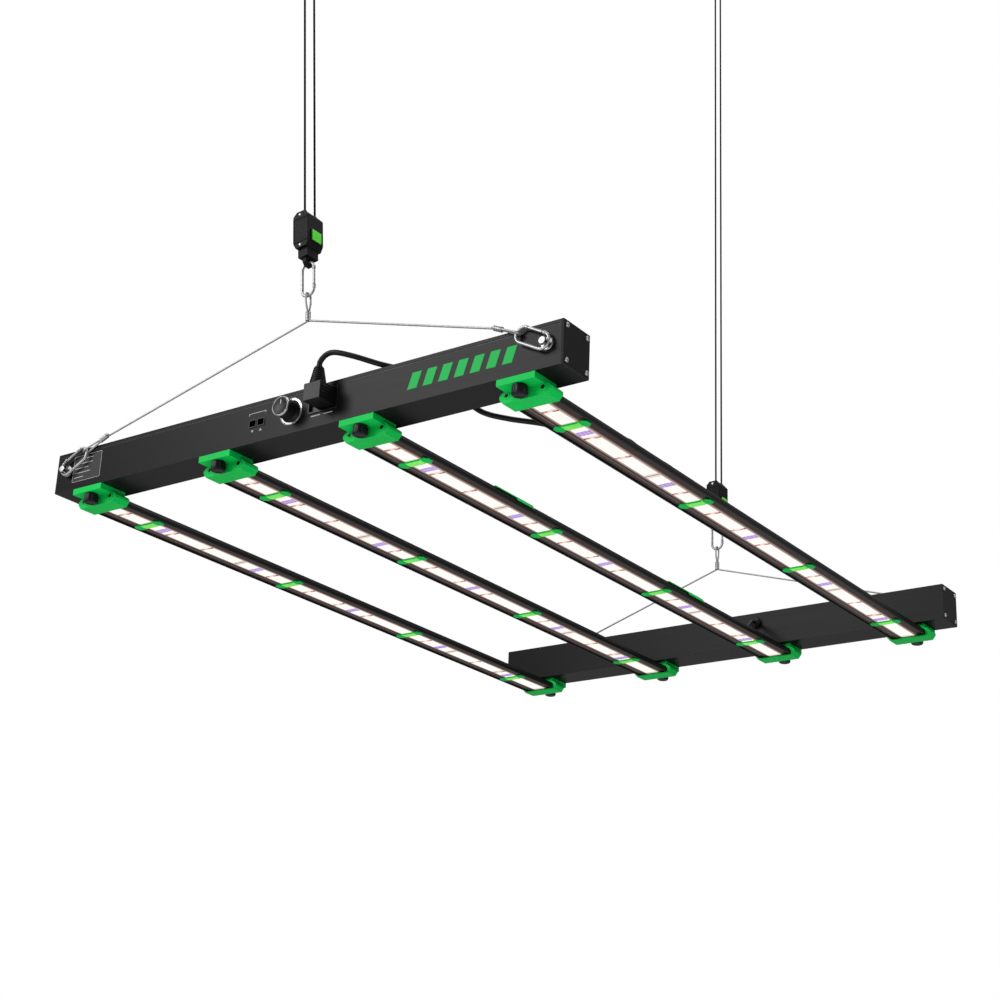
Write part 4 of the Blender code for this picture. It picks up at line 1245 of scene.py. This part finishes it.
def make_dimmer():
    place = facing(at(DIMMER_X, 0, DIMMER_Z))
    shell = [
        (0.0013, 0.0030),
        (0.0013, 0.0150),
        (0.0018, 0.0150),
        (0.0030, 0.0138),
        (0.0043, KNOB_RADIUS),
        (0.0120, KNOB_RADIUS - 0.0002),
        (KNOB_REACH - 0.0023, KNOB_RADIUS - 0.0004),
        (KNOB_REACH - 0.0016, KNOB_RADIUS - 0.0006),
        (KNOB_REACH - 0.0009, KNOB_RADIUS - 0.0024),
        (KNOB_REACH - 0.0010, KNOB_RADIUS - 0.0034),
        (KNOB_REACH - 0.0013, KNOB_RADIUS - 0.0040),
        (KNOB_REACH - 0.0013, 0.0010),
    ]
    shaft = turned([(-0.0140, 0.0030), (0.0014, 0.0030)], 24)
    cap = moved(together([turned(shell, 160, knurl), shaft]), place)
    knob = piece("knob_cap", cap, KNOB, "dimmer", sharp=30)
    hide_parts("dimmer_knob")
    top = KNOB_REACH
    rim = [
        (top - 0.0018, KNOB_RADIUS - 0.0009),
        (top - 0.0018, KNOB_RADIUS + 0.0001),
        (top - 0.0006, KNOB_RADIUS - 0.0002),
        (top, KNOB_RADIUS - 0.0012),
        (top - 0.0002, KNOB_RADIUS - 0.0017),
        (top - 0.0010, KNOB_RADIUS - 0.0020),
    ]
    piece("knob_rim", moved(washer(rim, 72), place), SILVER, "dimmer")
    line = prism(
        rounded_box(-0.0008, 0.0008, 0.0030, 0.0092, 0.0007), "Z", top - 0.0014, top - 0.0009
    )
    piece("knob_pointer", moved(line, place), PRINT_WHITE, "dimmer")
    dial = [
        (0.0001, 0.0153), (0.0009, 0.0153), (0.0009, 0.0181), (0.0006, 0.0186), (0.0001, 0.0187)
    ]
    piece("dial_ring", moved(washer(dial, 72), place), SCREW, "frame")
    ticks = []
    for step in range(11):
        turn = turn_by(-150 + 30 * step, "Z")
        major = step % 5 == 0
        half = 0.0006 if major else 0.0004
        tick = prism(
            rounded_box(-half, half, 0.0158 if major else 0.0163, 0.0179, half * 0.8),
            "Z",
            0.0008,
            0.0011,
        )
        ticks.append(moved(tick, place @ turn))
    piece("dial_ticks", together(ticks), SOCKET, "frame")


INLET_X, INLET_Z = 0.0625, 0.0343
INLET_HALF_X, INLET_HALF_Z = 0.0225, 0.01375
SOCKETS_X = (-0.0545, -0.0405)
SOCKET_Z = 0.0270


def frame_shape(a0, a1, b0, b1, wall, low, high, radius=0.0012):
    """A rectangular rim on the near rail's outer face."""
    outer = rounded_box(a0, a1, b0, b1, radius)
    inner = rounded_box(a0 + wall, a1 - wall, b0 + wall, b1 - wall, max(0.0003, radius - wall))
    columns = []
    for (a, b), (c, d) in zip(outer, inner):
        corners = ((a, low, b), (a, high, b), (c, high, d), (c, low, d))
        columns.append([(x, -HALF_SPAN - out, UNDER + z) for x, out, z in corners])
    return hoop(columns)


def make_inlet_details():
    grow = 0.0016
    rim = frame_shape(
        INLET_X - INLET_HALF_X - grow,
        INLET_X + INLET_HALF_X + grow,
        INLET_Z - INLET_HALF_Z - grow,
        INLET_Z + INLET_HALF_Z + grow,
        0.0024,
        0.0001,
        0.0014,
        0.0020,
    )
    piece("inlet_bezel", rim, SOCKET, "frame", bevel=0.0003)
    for name, x in zip(("in", "out"), SOCKETS_X):
        shapes = [
            frame_shape(
                x - 0.0064,
                x + 0.0064,
                SOCKET_Z - 0.0054,
                SOCKET_Z + 0.0054,
                0.0012,
                0.0001,
                0.0010,
            ),
        ]
        shapes.append(
            block(
                at(x - 0.0060, 0.0110, SOCKET_Z - 0.0050),
                at(x + 0.0060, 0.0125, SOCKET_Z + 0.0050),
            )
        )
        for pin in range(6):
            px = x - 0.0026 + 0.00104 * pin
            line = [at(px, 0.0112, SOCKET_Z + 0.0030), at(px, 0.0040, SOCKET_Z + 0.0012)]
            shapes.append(tube(line, 0.00022, 8))
        piece(f"control_socket_{name}", together(shapes), SOCKET, "frame")
    ribs = []
    base, tip = 0.0440, 0.0700
    for index in range(7):
        z = base + 0.0034 + 0.0032 * index
        r = 0.0100 - (z - 0.0480) / (tip - 0.0480) * 0.0045 if z > 0.0480 else 0.0100
        r += 0.0007
        ribs.append(
            washer(
                [(z, r - 0.0016), (z, r), (z + 0.0015, r - 0.0002), (z + 0.0015, r - 0.0018)], 32
            )
        )
    place = Matrix.Translation(at(PLUG_X, PLUG_DEPTH, 0))
    piece("plug_ribs", moved(together(ribs), place), RUBBER, "plug")
    grip = []
    for index in range(4):
        z = PLUG_Z - 0.0060 + 0.0042 * index
        for end in (-1, 1):
            x = PLUG_X + end * 0.0132
            grip.append(block(at(x - 0.0006, -0.0260, z), at(x + 0.0006, -0.0080, z + 0.0018)))
    piece("plug_grips", together(grip), RUBBER, "plug", bevel=0.0003)


# Hangers ------------------------------------------------------------------------------------

HOOK_OFFSET = 0.0060
HOOK_LENGTH = 0.0540
HOOK_WIDTH = 0.0240
HOOK_WIRE = 0.0020
HOOK_PITCH = math.radians(28)
GATE_FOOT = 0.0130
GATE_TIP = 0.0120
CABLE = 0.0014
JUNCTION_Z = {NEAR: 0.171, FAR: 0.157}
JUNCTION_DEPTH = 0.0275
LEAN = {NEAR: math.radians(-5.9), FAR: 0.0}
FERRULE_X, FERRULE_Z, FERRULE_DEPTH = 0.3300, 0.0640, -0.0030
FERRULE_HALF = 0.0070
FERRULE_RADIUS = 0.0036
STRAND_APART = 0.00165
EYE_HALF = 0.0042
EYE_WIDE = 0.0050
TOP_HOOK_FOOT = 0.0379
BLOCK_BOTTOM = 0.1080
BLOCK_HALF = 0.0130
BLOCK_HALF_DEPTH = 0.0150
RATCHET_TOP = 0.1610
BUTTON_Z = 0.1225
ROPE_X = 0.0030
ROPE_HALF = 0.0100
CEILING_ROD = 0.0030
CEILING_HOOK_DROP = 0.0310
CUP_RADIUS = 0.0090


def chain_matrix(side):
    return Matrix.Translation(
        at(0, JUNCTION_DEPTH, JUNCTION_Z[side], side)
    ) @ Matrix.Rotation(LEAN[side], 4, "Y")


def rail_hook_matrix(side, end):
    up = Vector((-math.cos(HOOK_PITCH) * end, 0, math.sin(HOOK_PITCH)))
    bolt = at(BOLT_X * end, -HOOK_OFFSET, BOLT_Z, side)
    foot = bolt - up * (0.0030 + 0.0003 + HOOK_WIRE)
    across = Vector((up.z * end, 0, -up.x * end))
    turn = Matrix((across, up.cross(across), up)).transposed().to_4x4()
    return Matrix.Translation(foot) @ turn


def make_snap_hook(name, gate_name, matrix, body, gate_body):
    """A snap hook with a nose and a knuckle on its wire, its gate and the gate's pin."""
    length, width = HOOK_LENGTH - 2 * HOOK_WIRE, HOOK_WIDTH - 2 * HOOK_WIRE
    r = width / 2
    start, end = GATE_FOOT, length - GATE_TIP
    points = [(r, 0, start), (r, 0, start - 0.0020)]
    points += [(a, 0, b) for a, b in arc((0, r), r, 0, -180, 22)]
    points += [(a, 0, b) for a, b in arc((0, length - r), r, 180, 0, 22)]
    points += [(r, 0, end + 0.0010), (r, 0, end)]
    wire = tube(resampled(points, 0.0016), HOOK_WIRE, 16)
    nose = turned(
        [
            (end - 0.0002, 0.0016),
            (end - 0.0002, 0.0023),
            (end + 0.0030, 0.0024),
            (end + 0.0042, 0.0021),
        ],
        18,
    )
    knuckle = turned(
        [(start - 0.0046, 0.0021), (start - 0.0036, 0.0024), (start, 0.0024), (start, 0.0012)], 18
    )
    side = shift_by(r, 0, 0)
    pin = moved(
        turned([(-0.0031, 0.0009), (-0.0029, 0.0013), (0.0029, 0.0013), (0.0031, 0.0009)], 14),
        shift_by(r, 0, start + 0.0014) @ turn_by(90, "X"),
    )
    whole = together([wire, moved(nose, side.copy()), moved(knuckle, side.copy())])
    hook = piece(f"{name}_wire", moved(whole, matrix), ZINC, body)
    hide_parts(name)
    bar = turned(
        [
            (start + 0.0013, 0.0010),
            (start + 0.0016, 0.0018),
            (end - 0.0010, 0.0018),
            (end - 0.0004, 0.0012),
        ],
        18,
    )
    latch = moved(bar, side)
    gate = piece(
        f"{gate_name}_bar", moved(together([latch, pin]), matrix), ZINC, gate_body
    )
    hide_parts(gate_name)


def twisted(distance, angle):
    """Six strands laid round a cable."""
    return 1 + 0.03 * math.cos(6 * angle - distance * 2 * math.pi / 0.0110)


def cable_end(side, end):
    """One end of the cable from its tail, round the eye, to where it leaves the ferrule."""
    matrix = rail_hook_matrix(side, end)
    inside = HOOK_LENGTH - 2 * HOOK_WIRE - HOOK_WIRE - CABLE - 0.0003
    foot = matrix @ Vector((0, 0, inside))
    centre = at(FERRULE_X * end, FERRULE_DEPTH, FERRULE_Z, side)
    up = (centre - foot).normalized()
    out = Vector((0, side, 0))
    out = (out - up * out.dot(up)).normalized()
    points = []
    for along in (-FERRULE_HALF * 1.35, FERRULE_HALF):
        points.append(centre - up * along + out * STRAND_APART)
    base = foot + up * EYE_HALF
    for i in range(13):
        angle = math.pi * i / 12
        points.append(
            base + out * (EYE_HALF * math.cos(angle)) - up * (EYE_HALF * math.sin(angle))
        )
    for along in (FERRULE_HALF, -FERRULE_HALF):
        points.append(centre - up * along - out * STRAND_APART)
    return points, (centre, up)


def ferrule(centre, up):
    """A pressed sleeve round both strands, with three crimps."""
    h = FERRULE_HALF
    profile = [(-h, 0.0030), (-h + 0.0006, FERRULE_RADIUS)]
    for i in range(3):
        z = -h + 0.0030 + 0.0040 * i
        profile += [
            (z - 0.0006, FERRULE_RADIUS),
            (z, 0.0032),
            (z + 0.0010, 0.0032),
            (z + 0.0016, FERRULE_RADIUS),
        ]
    profile += [(h - 0.0006, FERRULE_RADIUS), (h, 0.0030)]
    turn = up.to_track_quat("Z", "Y").to_matrix().to_4x4()
    return moved(turned(profile, 24), Matrix.Translation(centre) @ turn)


def make_cable(side):
    """The steel cable between the two rail hooks, with its eye in the middle and three ferrules."""
    name = SIDES[side]
    matrix = chain_matrix(side)
    left, left_ferrule = cable_end(side, -1)
    right, right_ferrule = cable_end(side, 1)
    eye = []
    for i in range(4):
        angle = math.pi - math.radians(30 * i)
        eye.append(
            (STRAND_APART * math.cos(angle), -STRAND_APART * math.sin(angle), 0.0140 * i / 3)
        )
    eye += [(0, -0.0046, 0.0270), (0, -EYE_WIDE, 0.0360)]
    eye += [(0, a, b) for a, b in arc((0, 0.0366), EYE_WIDE, 165, 90, 5)]
    eye += [(-x, -y, z) for x, y, z in reversed(eye[:-1])]
    top = [matrix @ Vector(p) for p in eye]
    line = resampled(left + top + list(reversed(right)), 0.0022)
    cable = piece(
        f"cable_strands_{name}",
        tube(line, CABLE, 18, twisted),
        STRAND,
        f"hanger_{name}",
        sharp=75,
    )
    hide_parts(f"hanger_cable_{name}")
    middle = matrix @ Vector((0, 0, 0.0070))
    shapes = [
        ferrule(*left_ferrule),
        ferrule(*right_ferrule),
        ferrule(middle, matrix.to_3x3() @ Vector((0, 0, 1))),
    ]
    piece(f"ferrules_{name}", together(shapes), ZINC, f"hanger_{name}")


def ceiling_point(side):
    matrix = chain_matrix(side)
    start = matrix @ Vector((ROPE_X, 0, 0))
    up = matrix.to_3x3() @ Vector((0, 0, 1))
    return start + up * ((-CEILING_HOOK_DROP - start.z) / up.z)


def braided(distance, angle):
    """The crossing strands of a braided rope."""
    turn = distance * 2 * math.pi / 0.0120
    return 1.0 + 0.012 * math.cos(4 * angle + turn) * math.cos(4 * angle - turn)


def make_rope(side):
    name = SIDES[side]
    matrix = chain_matrix(side)
    top = (matrix.inverted() @ ceiling_point(side)).z
    crown = top + CEILING_ROD + 0.0003 + ROPE_RADIUS - ROPE_HALF
    start = RATCHET_TOP - 0.0200
    points = [(ROPE_X, -ROPE_HALF, start)]
    points += [(ROPE_X, a, b) for a, b in arc((0, crown), ROPE_HALF, 180, 0, 24)]
    points.append((ROPE_X, ROPE_HALF, start))
    line = resampled([matrix @ Vector(p) for p in points], 0.0030)
    rope = piece(
        f"rope_braid_{name}",
        tube(line, ROPE_RADIUS, 16, braided),
        ROPE,
        f"hanger_{name}",
        sharp=75,
    )
    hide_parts(f"rope_{name}")


def make_ceiling_hook(side):
    name = SIDES[side]
    low = ceiling_point(side)
    plate = turned([(-0.0030, 0.0200), (-0.0028, 0.0236), (-0.0016, 0.0250), (0.0, 0.0250)], 64)
    r = CUP_RADIUS
    points = [(low.x, low.y, -0.0015), (low.x, low.y, low.z + 2 * r + 0.0040)]
    centre = (low.x, low.z + r)
    points += [(a, low.y, b) for a, b in arc(centre, r, 90, -200, 26)]
    collar = turned([(-0.0062, 0.0036), (-0.0050, 0.0052), (-0.0028, 0.0060)], 36)
    place = shift_by(low.x, low.y, 0)
    shapes = [
        moved(plate, place),
        tube(resampled(points, 0.0020), CEILING_ROD, 18),
        moved(collar, place.copy()),
    ]
    for angle in (30, 150, 270):
        spot = shift_by(low.x, low.y, -0.0027) @ turn_by(angle, "Z")
        head = moved(
            drive_recess(0.0032, 0.0014), spot @ shift_by(0.0160, 0, 0) @ turn_by(180, "X")
        )
        shapes.append(head)
    made = piece(
        f"ceiling_cup_hook_{name}",
        together(shapes),
        ZINC,
        f"hanger_{name}",
        sharp=30,
    )
    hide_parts(f"ceiling_hook_{name}")


def block_rib(face, x_low, x_high, z_low, z_high):
    """A rib on the ratchet's front or back face."""
    y = face * BLOCK_HALF_DEPTH
    start, end = sorted((y, y + face * 0.0008))
    return block((x_low, start, z_low), (x_high, end, z_high))


def on_block(x, z, face):
    """Lays a shape that is turned about Z on the ratchet's front or back face."""
    return shift_by(x, face * BLOCK_HALF_DEPTH, z) @ turn_by(-90 * face, "X")


def make_ratchet_details(side):
    """The ratchet's rims, pimpled grip faces, rivets, rope collar and button frame."""
    name = SIDES[side]
    matrix = chain_matrix(side)
    body = f"hanger_{name}"
    low, high = BLOCK_BOTTOM + 0.0068, RATCHET_TOP - 0.0105
    ribs = []
    for z in (low, high):
        ribs += [block_rib(face, -0.0124, 0.0124, z - 0.0008, z + 0.0008) for face in (-1, 1)]
    for x in (-0.0119, 0.0119):
        ribs += [block_rib(face, x - 0.0007, x + 0.0007, low, high) for face in (-1, 1)]
    rims = moved(together(ribs), matrix)
    piece(f"ratchet_rims_{name}", rims, BLOCK, body, bevel=0.0002)
    dot = [(-0.0002, 0.0011), (0.0003, 0.0010), (0.0005, 0.0006), (0.0006, 0.0002)]
    dots = []
    for row in range(9):
        for column in range(6):
            x = -0.0090 + 0.0034 * column + (0.0017 if row % 2 else 0)
            z = BLOCK_BOTTOM + 0.0105 + 0.0036 * row
            if x <= 0.0095:
                dots += [moved(turned(dot, 10), on_block(x, z, face)) for face in (-1, 1)]
    piece(f"ratchet_dots_{name}", moved(together(dots), matrix), SOCKET, body)
    head = [(-0.0002, 0.0026), (0.0005, 0.0025), (0.0011, 0.0018), (0.0014, 0.0008)]
    rivets = []
    for z in (BLOCK_BOTTOM + 0.0015, RATCHET_TOP - 0.0050):
        rivets += [moved(turned(head, 24), on_block(-0.0010, z, face)) for face in (-1, 1)]
    piece(f"ratchet_rivets_{name}", moved(together(rivets), matrix), SCREW, body)
    rim = button_rim(0.0089, 0.0079, 0.0014)
    piece(f"button_frame_{name}", moved(rim, matrix), BLOCK, body, bevel=0.0002)
    collars = []
    for y in (-ROPE_HALF, ROPE_HALF):
        ring = washer(
            [
                (RATCHET_TOP - 0.001, 0.0020),
                (RATCHET_TOP + 0.0010, 0.0020),
                (RATCHET_TOP + 0.0012, 0.0030),
                (RATCHET_TOP - 0.001, 0.0036),
            ],
            24,
        )
        collars.append(moved(ring, shift_by(ROPE_X, y, 0)))
    piece(f"rope_collars_{name}", moved(together(collars), matrix), BLOCK, body)
    arrow = prism(
        [(-0.0032, -0.0024), (0.0032, -0.0024), (0, 0.0030)],
        "X",
        BLOCK_HALF + 0.0026,
        BLOCK_HALF + 0.0031,
    )
    arrow = moved(arrow, matrix @ shift_by(0, 0, BUTTON_Z))
    piece(
        f"button_arrow_{name}",
        arrow,
        BUTTON,
        f"ratchet_button_{name}",
        bevel=0.0001,
    )


def button_rim(half_y, half_z, wall):
    """The raised frame round the release button, on the block's right face."""
    outer = rounded_box(
        -half_y - wall, half_y + wall, BUTTON_Z - half_z - wall, BUTTON_Z + half_z + wall, 0.0016
    )
    inner = rounded_box(-half_y, half_y, BUTTON_Z - half_z, BUTTON_Z + half_z, 0.0006)
    low, high = BLOCK_HALF - 0.0002, BLOCK_HALF + 0.0012
    columns = []
    for (a, b), (c, d) in zip(outer, inner):
        columns.append([(low, a, b), (high, a, b), (high, c, d), (low, c, d)])
    return hoop(columns)


def make_hangers():
    for side, name in SIDES.items():
        body = f"hanger_{name}"
        for end, end_name in ENDS.items():
            where = f"{name}_{end_name}"
            make_snap_hook(
                f"rail_hook_{where}",
                f"rail_hook_gate_{where}",
                rail_hook_matrix(side, end),
                body,
                f"rail_hook_gate_{where}",
            )
        matrix = chain_matrix(side) @ shift_by(0, 0, TOP_HOOK_FOOT)
        make_snap_hook(
            f"top_hook_{name}", f"top_hook_gate_{name}", matrix, body, f"top_hook_gate_{name}"
        )
        make_cable(side)
        make_ceiling_hook(side)
        make_ratchet_details(side)


# Floor and light ----------------------------------------------------------------------------

FLOOR_Z = -2.90
FLOOR_HALF = 14.0


def make_floor():
    shape = bmesh.new()
    for x, y in rectangle(-FLOOR_HALF, FLOOR_HALF, -FLOOR_HALF, FLOOR_HALF):
        shape.verts.new((x, y, FLOOR_Z))
    shape.faces.new(shape.verts)
    mesh = bpy.data.meshes.new("floor")
    shape.to_mesh(mesh)
    shape.free()
    made, tree, shader = new_material("floor_paper", 0.9)
    speckle = use(tree, GRAIN, Size=60.0, Depth=0.0001)
    tree.links.new(
        mixed(tree, speckle["Mask"], (0.80, 0.80, 0.80), (0.84, 0.84, 0.84)),
        shader.inputs["Base Color"],
    )
    mesh.materials.append(made)
    floor = bpy.data.objects.new("floor", mesh)
    bpy.context.scene.collection.objects.link(floor)


def make_world():
    """A white backdrop that lights the object softly, and less brightly than it looks."""
    world = bpy.data.worlds.new("studio")
    bpy.context.scene.world = world
    world.use_nodes = True
    tree = world.node_tree
    tree.nodes.clear()
    seen = add(tree, "ShaderNodeBackground", {"Color": (1, 1, 1, 1), "Strength": 1.0})
    light = add(tree, "ShaderNodeBackground", {"Color": (1, 1, 1, 1), "Strength": 0.38})
    path = add(tree, "ShaderNodeLightPath")
    blend = add(
        tree,
        "ShaderNodeMixShader",
        {0: path.outputs["Is Camera Ray"], 1: light.outputs[0], 2: seen.outputs[0]},
    )
    add(tree, "ShaderNodeOutputWorld", {"Surface": blend.outputs[0]})
    bpy.context.scene.view_settings.view_transform = "Standard"


def make_lamp(name, place, target, size, power):
    data = bpy.data.lights.new(name, "AREA")
    data.shape = "RECTANGLE"
    data.size, data.size_y = size
    data.energy = power
    lamp = bpy.data.objects.new(name, data)
    bpy.context.scene.collection.objects.link(lamp)
    place, target = Vector(place), Vector(target)
    lamp.location = place
    lamp.rotation_mode = "QUATERNION"
    lamp.rotation_quaternion = (target - place).to_track_quat("-Z", "Y")


def make_lights():
    middle = (0, 0, UNDER)
    make_lamp("key", (-1.6, -3.2, 0.1), (0.2, -0.57, UNDER), (1.6, 1.6), 120)
    make_lamp("side", (3.6, 0.4, -0.6), middle, (1.4, 1.4), 40)
    make_lamp("top", (0.3, 0.4, 1.4), middle, (2.4, 2.4), 60)
    make_lamp("under", (0.6, -1.2, -2.7), middle, (1.6, 1.6), 14)


def main():
    make_camera()
    make_power_cord()
    for side in (NEAR, FAR):
        make_rope(side)
    make_link_lead()
    paint_frame()
    make_boards()
    make_cover_clips()
    make_bracket_details()
    make_rail_details()
    make_prints()
    make_dimmer()
    make_inlet_details()
    make_hangers()
    make_floor()
    make_world()
    make_lights()


main()
